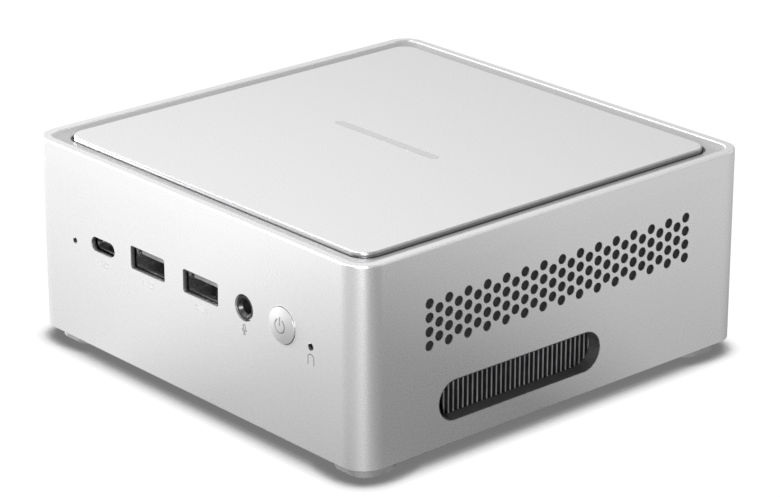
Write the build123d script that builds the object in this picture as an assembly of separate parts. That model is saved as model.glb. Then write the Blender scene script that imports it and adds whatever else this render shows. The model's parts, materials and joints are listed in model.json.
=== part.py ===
"""Small-form desktop computer: silver case with a press-in lid, board, cooler, memory, drive and sockets.

Frame: X runs to the right along the front, Y to the rear and Z up. The origin is at the middle of the
footprint, on the surface that the rubber feet stand on. All sizes are in millimetres.
"""

from build123d import *
import math
import os

# ---- outer size ----------------------------------------------------------------------------------
WIDTH = 127.0
DEPTH = 127.5
HEIGHT = 54.7
FRONT = -DEPTH / 2
REAR = DEPTH / 2
SIDE = WIDTH / 2

# ---- case shell, liner and base ------------------------------------------------------------------
CORNER_R = 6.5
SKIN = 1.2
SHELL_BOTTOM = 3.5
LID_PROUD = 0.2
RIM_Z = HEIGHT - LID_PROUD
RIM_FLAT = 2.3
RIM_ROUND = 0.5
DISH_DROP = 1.0
SHELF_Z = RIM_Z - 4.0
SHELF_THICK = 1.2
SHELF_INSET = 9.0
RIM_HOLLOW_TOP = RIM_Z - 2.1
RIM_HOLLOW_INSET = 4.9
RIM_LIP = 0.2
VENT_SKIN = 0.4

FIT = 0.05
LINER_WALL = 2.4
LINER_INSET = SKIN + FIT
LINER_INNER = LINER_INSET + LINER_WALL
LINER_BOTTOM = 6.0
LINER_TOP = SHELF_Z - SHELF_THICK - 0.1
GUSSET_TOP = 48.3
GUSSET_BOTTOM = 46.3
GUSSET_REACH = 43.0
BOSS_TOP = 26.0
FRONT_WINDOW_X = (-48.5, 48.5)
FRONT_WINDOW_Z = (27.0, 38.5)
REAR_WINDOW_X = (-44.0, 50.0)
REAR_WINDOW_Z = (28.0, GUSSET_BOTTOM)

BASE_BOTTOM = 3.9
BASE_TOP = 5.9
BASE_BOSS_TOP = 8.0
GRILLE_PITCH = 4.5
GRILLE_HOLE_R = 2.0
GRILLE_R = 25.5
BASE_SLOT_Y = 42.0
BASE_SLOT_LENGTH = 16.0
BASE_SLOT_WIDTH = 2.4

# ---- lid -----------------------------------------------------------------------------------------
LID_INSET = 6.4
LID_R = 4.5
LID_GAP = 0.25
LID_SKIN = 1.8
LID_ROUND = 0.5
LID_SKIRT = 1.6
LID_RIB_REACH = 53.0
LID_RIB_HALF = 0.6
STUD_X = 48.0
STUD_Y = 48.25
STUD_ROOT = SHELF_Z + FIT + 0.6
STUD_BALL_Z = 46.9
CATCH_R = 3.55
BADGE_LENGTH = 38.0
BADGE_WIDTH = 2.6
BADGE_DEPTH = 0.3

# ---- feet and fasteners --------------------------------------------------------------------------
FOOT_SIZE = 12.5
FOOT_R = 4.0
FOOT_INSET = 3.4
FOOT_TOP = 4.6
FOOT_X = SIDE - FOOT_INSET - FOOT_SIZE / 2
FOOT_Y = REAR - FOOT_INSET - FOOT_SIZE / 2
BASE_SCREW_SEAT = 6.2
BASE_SCREW_R = 1.25
BASE_SCREW_HEAD_R = 2.7
BASE_SCREW_LENGTH = 9.5
BOARD_SCREW_R = 1.05
BRACKET_PITCH = 75.0
INSERT_R = 3.0
INSERT_BORE_R = 1.65
INSERT_TOP = 8.9
POST_X = 57.0
POST_Y = 46.5

# ---- openings in the walls: centre along the wall, height, size ----------------------------------
VENT_PITCH = 3.52
VENT_HOLE_R = 1.3
VENT_Z = 35.7
VENT_COLUMNS = 29
SLOT_Y = -13.0
SLOT_Z = 14.5
SLOT_LENGTH = 53.3
SLOT_HEIGHT = 10.5
LOCK_Y = 50.0
LOCK_Z = 18.0
LOCK_LENGTH = 7.0
LOCK_HEIGHT = 3.0
REAR_VENT_X = 22.5
REAR_VENT_Z = 43.0
REAR_VENT_COLUMNS = 17
VENT_POCKET_Y = (-44.6, 44.6)
VENT_POCKET_Z = (28.9, 42.5)
REAR_POCKET_X = (-4.2, 49.2)
REAR_POCKET_Z = (39.5, 46.5)
COLLAR_WALL = 0.25

TYPE_A_X = (-16.1, 4.8)
TYPE_A_Z = 32.9
TYPE_C_X = -34.4
TYPE_C_Z = 32.0
JACK_X = 21.4
JACK_Z = 32.75
JACK_BORE_R = 1.8
BUTTON_X = 35.6
BUTTON_Z = 32.7
BUTTON_R = 4.55
BUTTON_EDGE = 0.25
BUTTON_RISE = 0.65
PINHOLE_X = -46.2
PINHOLE_Z = 30.5
MIC_X = 45.9
MIC_Z = 30.5
SOCKET_SETBACK = 1.5

DC_X = 44.0
VIDEO_X = (30.0, 12.5)
REAR_C_X = -2.0
STACK_X = -16.0
LAN_X = -34.5

# ---- board ---------------------------------------------------------------------------------------
BOARD_TOP = 29.8
BOARD_THICK = 1.6
BOARD_BOTTOM = BOARD_TOP - BOARD_THICK
BOARD_HALF_X = 59.4
BOARD_HALF_Y = 59.6
VIDEO_Z = BOARD_TOP + 3.0
DC_Z = BOARD_TOP + 5.5
STACK_Z = BOARD_TOP + 7.9
LAN_Z = BOARD_TOP + 6.75

# ---- cooler --------------------------------------------------------------------------------------
FAN_X = 8.0
FAN_Y = SLOT_Y
FAN_BOTTOM = 9.4
FAN_TOP = 20.0
FAN_COVER = 0.8
FAN_HALF = 38.0
FAN_RIGHT = 49.2
FAN_MOUTH = 53.0
ROTOR_Z = (10.9, 17.2)
SHAFT_R = 1.0
BEARING_R = 1.03
ROTOR_R = 29.0
ROTOR_HUB_R = 14.0
ROTOR_BLADES = 37
FIN_PITCH = 1.55
FIN_COUNT = 35
FIN_THICK = 0.25
FIN_X0 = 49.4
FIN_X1 = 59.6
FIN_Z0 = 8.8
FIN_Z1 = 20.2
PIPE_WIDTH = 5.0
PIPE_HEIGHT = 2.8
PIPE_PITCH = 5.2
PIPE_ROUND = 1.39
CPU_X = -8.0
CPU_Y = 14.0
COOLER_SCREW_DX = 24.0
COOLER_SCREW_DY = 17.0
COOLER_ARM_Z = (24.4, 25.6)
PLATE_Z0 = FIN_Z1 + PIPE_HEIGHT
PLATE_Z1 = PLATE_Z0 + 3.2

# ---- memory, drive, radio card and their fan -----------------------------------------------------
MEMORY_SOCKET_X = (-27.0, -21.0)
MEMORY_X = (-56.0, -24.5)
MEMORY_HALF_Y = 34.8
MEMORY_THICK = 1.0
MEMORY_CHIP_THICK = 0.9
MEMORY_LEVELS = (33.0, 37.0)
LATCH_PIVOT_X = -27.1
LATCH_TIP_X = -51.0
DRIVE_X = -4.0
DRIVE_Y = (-38.0, 42.0)
DRIVE_Z = 33.2
RADIO_X = 25.0
RADIO_Y = (-38.0, -8.0)
RADIO_Z = 32.2
AERIAL_PLUG_X = 7.0
AERIAL_PLUG_Y = -12.0
AERIAL_PLUG_H = 0.7
CARD_WIDTH = 22.0
CARD_THICK = 0.8
BRIDGE_Z0 = 45.0
BRIDGE_Z1 = 46.0
BRIDGE_X = (-20.6, 55.5)
BRIDGE_HALF_Y = 33.0
BRIDGE_LEG_X = (-18.2, 51.0)
BRIDGE_LEG_Y = 29.0
TOP_FAN_X = 16.0
TOP_FAN_SIZE = 50.0
TOP_FAN_Z0 = 37.0
TOP_FAN_DUCT_R = 23.5
TOP_ROTOR_R = 22.6
TOP_HUB_R = 9.0
TOP_BLADES = 9
BATTERY_X = 48.5
BATTERY_Y = 2.0


# ---- helpers -------------------------------------------------------------------------------------
def block(x, y, z):
    """A box from three (low, high) pairs."""
    size = [high - low for low, high in (x, y, z)]
    middle = [(high + low) / 2 for low, high in (x, y, z)]
    return Pos(*middle) * Box(*size)


def rod(x, y, z, radius):
    """An upright cylinder between two heights."""
    return Pos(x, y, sum(z) / 2) * Cylinder(radius, z[1] - z[0])


def rod_y(x, y, z, radius):
    """A cylinder along Y between two depths."""
    return Pos(x, sum(y) / 2, z) * Rot(90, 0, 0) * Cylinder(radius, y[1] - y[0])


def tube(x, y, z, outer, inner):
    """An upright tube between two heights."""
    return rod(x, y, z, outer) - rod(x, y, z, inner)


def slab(inset, radius, z0, z1):
    """The case's outline, drawn in by inset, between two heights."""
    return extrude(Pos(0, 0, z0) * RectangleRounded(WIDTH - 2 * inset, DEPTH - 2 * inset, radius), z1 - z0)


def front_plane(y):
    """A drawing plane across the case: its x is X and its y is Z."""
    return Plane(origin=(0, y, 0), x_dir=(1, 0, 0), z_dir=(0, -1, 0))


def side_plane(x):
    """A drawing plane along the case: its x is Y and its y is Z."""
    return Plane(origin=(x, 0, 0), x_dir=(0, 1, 0), z_dir=(1, 0, 0))


def punch(plane, sketch, reach):
    """A cutter that runs the same way to both sides of a plane."""
    return extrude(plane * sketch, reach, both=True)


def corners(x, y):
    """The four mirror places of one corner point."""
    return [(sx * x, sy * y) for sx in (-1, 1) for sy in (-1, 1)]


def turned(shape):
    """The same piece facing the rear instead of the front."""
    return Rot(0, 0, 180) * shape


# ---- patterns of openings ------------------------------------------------------------------------
def vent_sketch(centre, height, columns, tall):
    """Round holes on a triangular grid, in columns of tall and tall - 1 holes by turns."""
    step = VENT_PITCH * math.sqrt(3) / 2
    spots = []
    for column in range(columns):
        count = tall - column % 2
        across = centre + (column - (columns - 1) / 2) * step
        spots += [(across, height + (row - (count - 1) / 2) * VENT_PITCH) for row in range(count)]
    return Sketch() + [Pos(*spot) * Circle(VENT_HOLE_R) for spot in spots]


def front_cutouts(grow=0.0):
    """The openings in the front wall."""
    shapes = [Pos(x, TYPE_A_Z) * RectangleRounded(13.6 + grow, 6.1 + grow, 0.7) for x in TYPE_A_X]
    shapes.append(Pos(TYPE_C_X, TYPE_C_Z) * SlotOverall(9.7 + grow, 3.9 + grow))
    shapes.append(Pos(JACK_X, JACK_Z) * Circle(3.4 + grow / 2))
    shapes.append(Pos(BUTTON_X, BUTTON_Z) * Circle(BUTTON_R + 0.2 + grow / 2))
    shapes.append(Pos(MIC_X, MIC_Z) * Circle(0.8))
    shapes.append(Pos(PINHOLE_X, PINHOLE_Z) * Circle(0.68))
    return Sketch() + shapes


def rear_cutouts():
    """The openings in the rear wall."""
    shapes = [Pos(x, VIDEO_Z) * RectangleRounded(15.6, 6.2, 0.8) for x in VIDEO_X]
    shapes.append(Pos(DC_X, DC_Z) * Circle(4.0))
    shapes.append(Pos(REAR_C_X, TYPE_C_Z) * SlotOverall(9.7, 3.9))
    shapes.append(Pos(STACK_X, STACK_Z) * RectangleRounded(15.0, 16.2, 0.6))
    shapes.append(Pos(LAN_X, LAN_Z) * RectangleRounded(16.5, 13.9, 0.6))
    return Sketch() + shapes + vent_sketch(REAR_VENT_X, REAR_VENT_Z, REAR_VENT_COLUMNS, 2)


# ---- case ----------------------------------------------------------------------------------------
def make_case_shell():
    """Silver skin: four walls, rolled rim, and the shallow dish and shelf that the lid sits in."""
    shell = slab(0, CORNER_R, SHELL_BOTTOM, RIM_Z)
    shell = fillet(shell.edges().group_by(Axis.Z)[-1], RIM_ROUND)
    shell = fillet(shell.edges().group_by(Axis.Z)[0], 0.3)
    skin_r = CORNER_R - SKIN
    shell -= slab(SKIN, skin_r, SHELL_BOTTOM, SHELF_Z - SHELF_THICK)
    hollow = slab(SKIN, skin_r, SHELF_Z - SHELF_THICK, RIM_HOLLOW_TOP)
    shell -= hollow - slab(RIM_HOLLOW_INSET, LID_R + 1.0, SHELF_Z - SHELF_THICK, RIM_HOLLOW_TOP)
    shell -= slab(SHELF_INSET, 3.0, SHELF_Z - SHELF_THICK, SHELF_Z)
    well = LID_INSET - LID_GAP
    shell -= slab(well, LID_R + LID_GAP, SHELF_Z, RIM_Z - DISH_DROP)
    steps = [(well, LID_R + LID_GAP, RIM_Z - DISH_DROP),
             (RIM_FLAT + RIM_LIP, CORNER_R - RIM_FLAT - RIM_LIP, RIM_Z - RIM_LIP),
             (RIM_FLAT, CORNER_R - RIM_FLAT, RIM_Z)]
    rings = [Pos(0, 0, z) * RectangleRounded(WIDTH - 2 * d, DEPTH - 2 * d, r) for d, r, z in steps]
    shell -= loft(rings[:2])
    shell -= loft(rings[1:])
    shell -= punch(front_plane(FRONT), front_cutouts(), 2 * SKIN)
    shell -= punch(front_plane(REAR), rear_cutouts(), 2 * SKIN)
    vents = vent_sketch(0, VENT_Z, VENT_COLUMNS, 4)
    exhaust = Pos(SLOT_Y, SLOT_Z) * SlotOverall(SLOT_LENGTH, SLOT_HEIGHT)
    lock = Pos(LOCK_Y, LOCK_Z) * SlotOverall(LOCK_LENGTH, LOCK_HEIGHT)
    shell -= punch(side_plane(SIDE), vents + exhaust, 2 * SKIN)
    shell -= punch(side_plane(-SIDE), vents + lock, 2 * SKIN)
    for side in (-1, 1):
        pocket = sorted((side * (SIDE - VENT_SKIN), side * (SIDE - 2 * SKIN)))
        shell -= block(pocket, VENT_POCKET_Y, VENT_POCKET_Z)
    shell -= block(REAR_POCKET_X, (REAR - 2 * SKIN, REAR - VENT_SKIN), REAR_POCKET_Z)
    return shell


def split_case(shell):
    """The one-piece skin as its rim and four walls, parted at the middle of each corner."""
    far = 2 * CORNER_R
    arc_x, arc_y = SIDE - CORNER_R, REAR - CORNER_R
    low, high = SHELL_BOTTOM - 1, SHELF_Z - SHELF_THICK

    def wedge(first, second):
        """Upright prism between the diagonals through two neighbouring corners."""
        inner = [(x - math.copysign(far, x), y - math.copysign(far, y)) for x, y in (second, first)]
        outer = [(x + math.copysign(far, x), y + math.copysign(far, y)) for x, y in (first, second)]
        outline = make_face(Polyline(*inner, *outer, inner[0]))
        return extrude(Pos(0, 0, low) * outline, high - low)

    front_left, front_right = (-arc_x, -arc_y), (arc_x, -arc_y)
    rear_left, rear_right = (-arc_x, arc_y), (arc_x, arc_y)
    return {
        "case_rim": shell & block((-SIDE - 1, SIDE + 1), (FRONT - 1, REAR + 1), (high, HEIGHT)),
        "case_front_wall": shell & wedge(front_left, front_right),
        "case_right_wall": shell & wedge(front_right, rear_right),
        "case_rear_wall": shell & wedge(rear_right, rear_left),
        "case_left_wall": shell & wedge(rear_left, front_left),
    }


def make_inner_liner():
    """Black moulded frame inside the skin, with the bosses, posts and gussets that carry everything."""
    inner_r = CORNER_R - LINER_INNER + 1.0
    liner = slab(LINER_INSET, CORNER_R - LINER_INSET, LINER_BOTTOM, LINER_TOP)
    liner -= slab(LINER_INNER, inner_r, LINER_BOTTOM, LINER_TOP)
    room = slab(LINER_INSET + 0.5, CORNER_R - LINER_INSET - 0.5, LINER_BOTTOM, LINER_TOP)
    for x, y in corners(1, 1):
        reach_x = sorted((x * GUSSET_REACH, x * (SIDE - LINER_INSET)))
        reach_y = sorted((y * GUSSET_REACH, y * (REAR - LINER_INSET)))
        liner += block(reach_x, reach_y, (GUSSET_BOTTOM, GUSSET_TOP)) & room
    span = (BASE_BOSS_TOP + 0.1, BOSS_TOP)
    half_web = 0.8
    for x, y in corners(FOOT_X, FOOT_Y):
        web_x = sorted((x, math.copysign(SIDE - LINER_INNER + 0.5, x)))
        web_y = sorted((y, math.copysign(REAR - LINER_INNER + 0.5, y)))
        liner += rod(x, y, span, 3.5)
        liner += block(web_x, (y - half_web, y + half_web), span)
        liner += block((x - half_web, x + half_web), web_y, span)
        liner -= rod(x, y, (span[0], span[0] + BASE_SCREW_LENGTH + 0.4), BASE_SCREW_R + 0.05)
    post_bottom = BOARD_TOP + 0.1
    for x, y in corners(POST_X, POST_Y):
        liner += rod(x, y, (post_bottom, GUSSET_BOTTOM), 2.8)
        liner -= rod(x, y, (post_bottom, post_bottom + 10.0), BOARD_SCREW_R + 0.05)
    for x, y in corners(STUD_X, STUD_Y):
        liner -= rod(x, y, (GUSSET_BOTTOM, GUSSET_TOP), CATCH_R + 0.05)
    reach = 1.4 * LINER_INNER
    liner -= block(FRONT_WINDOW_X, (FRONT, FRONT + reach), FRONT_WINDOW_Z)
    liner -= block(REAR_WINDOW_X, (REAR - reach, REAR), REAR_WINDOW_Z)
    for side in (-1, 1):
        window = sorted((side * (SIDE - reach), side * SIDE))
        liner -= block(window, VENT_POCKET_Y, VENT_POCKET_Z)
    collar = SlotOverall(SLOT_LENGTH - 2 * FIT, SLOT_HEIGHT - 2 * FIT)
    duct = SlotOverall(SLOT_LENGTH - 2 * (FIT + COLLAR_WALL), SLOT_HEIGHT - 2 * (FIT + COLLAR_WALL))
    liner += extrude(side_plane(SIDE - 0.1) * Pos(SLOT_Y, SLOT_Z) * collar, -SKIN)
    liner -= punch(side_plane(SIDE), Pos(SLOT_Y, SLOT_Z) * duct, 2 * LINER_INNER)
    lock = Pos(LOCK_Y, LOCK_Z) * SlotOverall(LOCK_LENGTH + 0.4, LOCK_HEIGHT + 0.4)
    liner -= punch(side_plane(-SIDE), lock, 2 * LINER_INNER)
    return liner


def make_base_cover():
    """Bottom plate with the fan's intake grille, foot pockets, screw seats and bracket bosses."""
    base = slab(SKIN + 0.15, CORNER_R - SKIN - 0.15, BASE_BOTTOM, BASE_TOP)
    pocket_size = FOOT_SIZE + 0.2
    pocket = RectangleRounded(pocket_size, pocket_size, FOOT_R + 0.1)
    for x, y in corners(FOOT_X, FOOT_Y):
        base += rod(x, y, (BASE_BOTTOM, BASE_BOSS_TOP), 5.0)
        base -= extrude(Pos(x, y, BASE_BOTTOM) * pocket, FOOT_TOP - BASE_BOTTOM + 0.1)
        base -= rod(x, y, (FOOT_TOP, BASE_SCREW_SEAT), BASE_SCREW_HEAD_R + 0.2)
        base -= rod(x, y, (BASE_SCREW_SEAT, BASE_BOSS_TOP), BASE_SCREW_R + 0.35)
    for x, y in corners(BRACKET_PITCH / 2, BRACKET_PITCH / 2):
        base += rod(x, y, (BASE_BOTTOM, INSERT_TOP - 0.1), INSERT_R + 1.4)
        base -= rod(x, y, (BASE_BOTTOM, INSERT_TOP - 0.1), INSERT_R)
    reach = math.ceil(GRILLE_R / GRILLE_PITCH)
    holes = []
    for column in range(-reach, reach + 1):
        for row in range(-reach, reach + 1):
            x = column * GRILLE_PITCH * math.sqrt(3) / 2
            y = (row + column % 2 / 2) * GRILLE_PITCH
            if math.hypot(x, y) < GRILLE_R:
                holes.append(Pos(FAN_X + x, FAN_Y + y) * RegularPolygon(GRILLE_HOLE_R, 6))
    slot = Rot(0, 0, 90) * SlotOverall(BASE_SLOT_LENGTH, BASE_SLOT_WIDTH)
    slots = [Pos(x, BASE_SLOT_Y) * slot for x in range(-24, 25, 6)]
    base -= extrude(Pos(0, 0, BASE_BOTTOM) * (Sketch() + holes + slots), BASE_TOP - BASE_BOTTOM)
    return base


def make_lid():
    """Top plate with a skirt that stands in the case's well, and a shallow pocket for the badge."""
    bottom = SHELF_Z + FIT
    lid = slab(LID_INSET, LID_R, bottom, HEIGHT)
    lid = fillet(lid.edges().group_by(Axis.Z)[-1], LID_ROUND)
    lid -= slab(LID_INSET + LID_SKIRT, LID_R - LID_SKIRT, bottom, HEIGHT - LID_SKIN)
    deep = (STUD_ROOT, HEIGHT - LID_SKIN)
    long = (-LID_RIB_REACH, LID_RIB_REACH)
    thin = (-LID_RIB_HALF, LID_RIB_HALF)
    lid += block(long, thin, deep)
    lid += block(thin, long, deep)
    for x, y in corners(STUD_X, STUD_Y):
        lid += rod(x, y, deep, 4.0)
    lid -= extrude(Pos(0, 0, HEIGHT - BADGE_DEPTH) * SlotOverall(BADGE_LENGTH, BADGE_WIDTH), BADGE_DEPTH)
    return lid


def make_lid_studs():
    """Ball studs under the lid's corners."""
    stud = rod(0, 0, (STUD_BALL_Z, STUD_ROOT), 1.4) + Pos(0, 0, STUD_BALL_Z) * Sphere(2.1)
    return [Pos(x, y, 0) * stud for x, y in corners(STUD_X, STUD_Y)]


def make_lid_catches():
    """Slotted snap rings in the liner's gussets, one round each stud."""
    low, high = GUSSET_BOTTOM - 1.5, GUSSET_TOP + 0.6
    ring = rod(0, 0, (low, GUSSET_TOP), CATCH_R) + rod(0, 0, (GUSSET_TOP, high), CATCH_R + 1.05)
    ring -= rod(0, 0, (low, high), 2.4)
    for turn in (0, 90):
        ring -= Rot(0, 0, turn) * block((-4, 4), (-0.4, 0.4), (low, GUSSET_TOP - 1.0))
    return [Pos(x, y, 0) * ring for x, y in corners(STUD_X, STUD_Y)]


def make_lid_badge():
    """Plain polished bar let into the lid."""
    outline = SlotOverall(BADGE_LENGTH - 0.1, BADGE_WIDTH - 0.1)
    return extrude(Pos(0, 0, HEIGHT - BADGE_DEPTH) * outline, BADGE_DEPTH)


def make_feet():
    """Soft square feet with rounded corners."""
    foot = extrude(RectangleRounded(FOOT_SIZE, FOOT_SIZE, FOOT_R), FOOT_TOP)
    foot = fillet(foot.edges().group_by(Axis.Z)[0], 0.5)
    return [Pos(x, y, 0) * foot for x, y in corners(FOOT_X, FOOT_Y)]


def screw(head_r, head_h, shank_r, shank_length):
    """Pan-head screw standing on its shank's root: head below z 0, shank above, with a cross recess."""
    body = Pos(0, 0, -head_h / 2) * Cylinder(head_r, head_h)
    body = fillet(body.edges().group_by(Axis.Z)[0], head_h * 0.3)
    body += Pos(0, 0, shank_length / 2) * Cylinder(shank_r, shank_length)
    arm = head_r * 1.1
    for turn in (0, 90):
        body -= Rot(0, 0, turn) * Pos(0, 0, -head_h) * Box(arm, head_r * 0.22, head_h)
    return body


def make_base_screws():
    one = screw(BASE_SCREW_HEAD_R, 1.4, BASE_SCREW_R, BASE_SCREW_LENGTH)
    return [Pos(x, y, BASE_SCREW_SEAT) * one for x, y in corners(FOOT_X, FOOT_Y)]


def make_bracket_inserts():
    """Brass inserts for a mounting bracket's screws."""
    insert = tube(0, 0, (BASE_BOTTOM + 0.1, INSERT_TOP), INSERT_R - 0.02, INSERT_BORE_R)
    return [Pos(x, y, 0) * insert for x, y in corners(BRACKET_PITCH / 2, BRACKET_PITCH / 2)]


def make_side_filter(side):
    """Fine dust filter in the pocket behind one wall's round vents."""
    x = sorted((side * (SIDE - VENT_SKIN - FIT), side * (SIDE - VENT_SKIN - FIT - 0.7)))
    return block(x, (-44.3, 44.3), (29.1, 42.3))


def make_rear_filter():
    """Fine dust filter behind the rear wall's vents."""
    return block((-4.0, 49.0), (REAR - VENT_SKIN - FIT - 0.7, REAR - VENT_SKIN - FIT), (39.7, 46.3))


def make_base_filter():
    """Round dust filter over the intake grille."""
    return rod(FAN_X, FAN_Y, (BASE_TOP + 0.05, BASE_TOP + 0.55), 28.0)


# ---- front controls ------------------------------------------------------------------------------
def make_power_button():
    """Domed cap, flange behind the skin and plunger, with the power sign sunk in the cap."""
    flange_y = FRONT + SKIN + 0.1
    edge_y = FRONT - BUTTON_EDGE
    dome_r = (BUTTON_R ** 2 + BUTTON_RISE ** 2) / (2 * BUTTON_RISE)
    cap = rod_y(BUTTON_X, (edge_y - BUTTON_RISE, flange_y), BUTTON_Z, BUTTON_R)
    cap = cap & Pos(BUTTON_X, edge_y - BUTTON_RISE + dome_r, BUTTON_Z) * Sphere(dome_r)
    ring = Circle(1.92) - Circle(1.5) - Pos(0, 1.7) * Rectangle(1.5, 1.6)
    sign = Pos(BUTTON_X, BUTTON_Z) * (ring + Pos(0, 1.2) * Rectangle(0.42, 2.2))
    cap -= (extrude(front_plane(FRONT) * sign, 2.0) & cap) - Pos(0, 0.15, 0) * cap
    cap += rod_y(BUTTON_X, (flange_y, flange_y + 0.8), BUTTON_Z, BUTTON_R + 0.8)
    cap += rod_y(BUTTON_X, (flange_y + 0.8, FRONT + 5.1), BUTTON_Z, 1.5)
    return cap


def make_button_guide():
    """Black plate that keeps the plunger straight."""
    plate = block((BUTTON_X - 6.0, BUTTON_X + 6.0), (FRONT + 2.9, FRONT + 3.8), (28.05, 38.45))
    return plate - rod_y(BUTTON_X, (FRONT + 2.8, FRONT + 3.9), BUTTON_Z, 1.6)


def make_power_switch():
    """Push switch on the board behind the power button."""
    face = FRONT + 6.3
    body = block((BUTTON_X - 3.0, BUTTON_X + 3.0), (face, face + 3.5), (BOARD_TOP, BOARD_TOP + 5.8))
    return body - rod_y(BUTTON_X, (face, face + 1.3), BUTTON_Z, 1.5)


def make_power_switch_stem():
    return rod_y(BUTTON_X, (FRONT + 5.15, FRONT + 6.95), BUTTON_Z, 1.4)


def make_reset_switch():
    """Small push switch that a pin reaches through the front's pinhole."""
    face = FRONT + 6.7
    body = block((PINHOLE_X - 2.2, PINHOLE_X + 2.2), (face, face + 2.5), (BOARD_TOP, BOARD_TOP + 1.5))
    return body - rod_y(PINHOLE_X, (face, face + 1.0), BOARD_TOP + 0.75, 0.55)


def make_reset_switch_stem():
    return rod_y(PINHOLE_X, (FRONT + 6.1, FRONT + 7.35), BOARD_TOP + 0.75, 0.5)


def make_microphone():
    """Metal microphone can at the board's front edge."""
    return block((MIC_X - 1.9, MIC_X + 1.9), (FRONT + 4.4, FRONT + 7.4), (BOARD_TOP, BOARD_TOP + 1.3))


def make_microphone_boot():
    """Rubber boot that leads the sound from the hole to the can."""
    boot = block((MIC_X - 2.4, MIC_X + 2.4), (FRONT + SKIN + 0.05, FRONT + 4.1), (28.2, 32.8))
    return boot - rod_y(MIC_X, (FRONT, FRONT + 5), MIC_Z, 0.6)


# ---- sockets: drawn with the mouth at y 0 facing -Y and the middle of the mouth at x 0, z 0 ------
def at_front(shape, x, z):
    return Pos(x, FRONT + SOCKET_SETBACK, z) * shape


def at_rear(shape, x, z):
    return Pos(x, REAR - SOCKET_SETBACK, z) * turned(shape)


def tin_can(sketch, inner, length, back):
    """A drawn metal can with an open mouth and a closed back."""
    return extrude(front_plane(0) * sketch, -length) - extrude(front_plane(0) * inner, -(length - back))


def type_a_shell():
    can = tin_can(RectangleRounded(13.1, 5.7, 0.5), RectangleRounded(12.5, 5.1, 0.3), 14.0, 0.3)
    springs = [block((x - 1.0, x + 1.0), (3.0, 8.0), (2.5, 2.9)) for x in (-3.2, 3.2)]
    can -= springs[0] + springs[1]
    return can


def type_a_tongue():
    """Contact tongue high in the mouth, on its block, with four contact strips under it."""
    tongue = block((-5.55, 5.55), (1.2, 11.5), (0.35, 2.2)) + block((-6.1, 6.1), (11.5, 13.6), (-2.4, 2.4))
    strips = [block((x - 0.5, x + 0.5), (2.0, 11.5), (0.1, 0.35)) for x in (-3.5, -1.0, 1.0, 3.5)]
    return Part() + [tongue, *strips]


def type_c_shell():
    return tin_can(SlotOverall(8.94, 3.16), SlotOverall(8.34, 2.56), 8.0, 0.3)


def type_c_tongue():
    root = 6.5
    blade = block((-3.3, 3.3), (1.0, root), (-0.35, 0.35))
    return blade + extrude(front_plane(root) * SlotOverall(8.2, 2.4), -1.1)


def video_shell():
    """D-shaped can with both lower corners cut back."""
    def outline(width, height, cut):
        right, top, step = width / 2, height / 2, 2.2
        half = [(right, top), (right, step - top), (right - cut, -top)]
        other = [(-x, z) for x, z in reversed(half)]
        return make_face(Polyline(*half, *other, half[0]))
    return tin_can(outline(15.0, 5.55, 1.6), outline(14.3, 4.85, 1.5), 11.0, 0.4)


def video_tongue():
    return block((-5.9, 5.9), (1.0, 9.0), (-0.7, 0.9)) + block((-5.4, 5.4), (9.0, 10.5), (-2.1, 2.2))


def stack_shell():
    """Frame of the two rear flat sockets, one above the other."""
    can = block((-7.2, 7.2), (0, 17.0), (-7.8, 7.8))
    for z in (-3.9, 3.9):
        can -= block((-6.25, 6.25), (0, 12.0), (z - 2.55, z + 2.55))
    return can


def stack_tongues():
    tongues = []
    for z in (-3.9, 3.9):
        tongue = block((-5.55, 5.55), (1.2, 10.9), (z + 0.3, z + 2.1))
        tongues.append(tongue + block((-6.2, 6.2), (10.9, 11.9), (z - 2.5, z + 2.5)))
    return tongues


def lan_shell():
    """Network socket body with a stepped mouth for the plug and its clip."""
    can = block((-7.95, 7.95), (0, 21.0), (-6.65, 6.65))
    can -= block((-5.9, 5.9), (0, 13.0), (-3.9, 4.3))
    can -= block((-3.1, 3.1), (0, 10.0), (-5.4, -3.9))
    can -= block((-1.6, 1.6), (0, 8.0), (-6.1, -5.4))
    for x in (-5.6, 5.6):
        can -= block((x - 1.3, x + 1.3), (0, 3.0), (4.8, 6.2))
    return can


def lan_contacts():
    """Eight sprung wires that slope down from the roof of the mouth."""
    wires = []
    for i in range(8):
        x = (i - 3.5) * 1.02
        wire = make_face(Polyline((2.5, 4.2), (3.0, 4.2), (12.8, 1.0), (12.8, 0.6), (2.5, 3.9), (2.5, 4.2)))
        wires.append(extrude(Plane(origin=(x - 0.2, 0, 0), x_dir=(0, 1, 0), z_dir=(1, 0, 0)) * wire, 0.4))
    return wires


def dc_shell():
    """Block with the round mouth for the power plug."""
    return block((-4.5, 4.5), (0, 13.0), (-5.5, 5.5)) - rod_y(0, (0, 10.0), 0, 3.15)


def dc_pin():
    pin = rod_y(0, (1.5, 10.0), 0, 1.2)
    return fillet(pin.edges().group_by(Axis.Y)[0], 0.6)


def make_audio_jack():
    """Round nose in the front wall and the block behind it, bored for a plug."""
    nose = rod_y(0, (-1.2, 1.5), 0, 3.25)
    nose = chamfer(nose.edges().group_by(Axis.Y)[0], 0.25)
    body = nose + block((-3.0, 3.0), (1.5, 13.0), (-2.9, 2.5))
    body -= rod_y(0, (-1.2, 12.8), 0, JACK_BORE_R)
    mouth = Pos(0, -0.8, 0) * Rot(90, 0, 0) * Cone(JACK_BORE_R, JACK_BORE_R + 0.6, 0.8)
    return at_front(body - mouth, JACK_X, JACK_Z)


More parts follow.
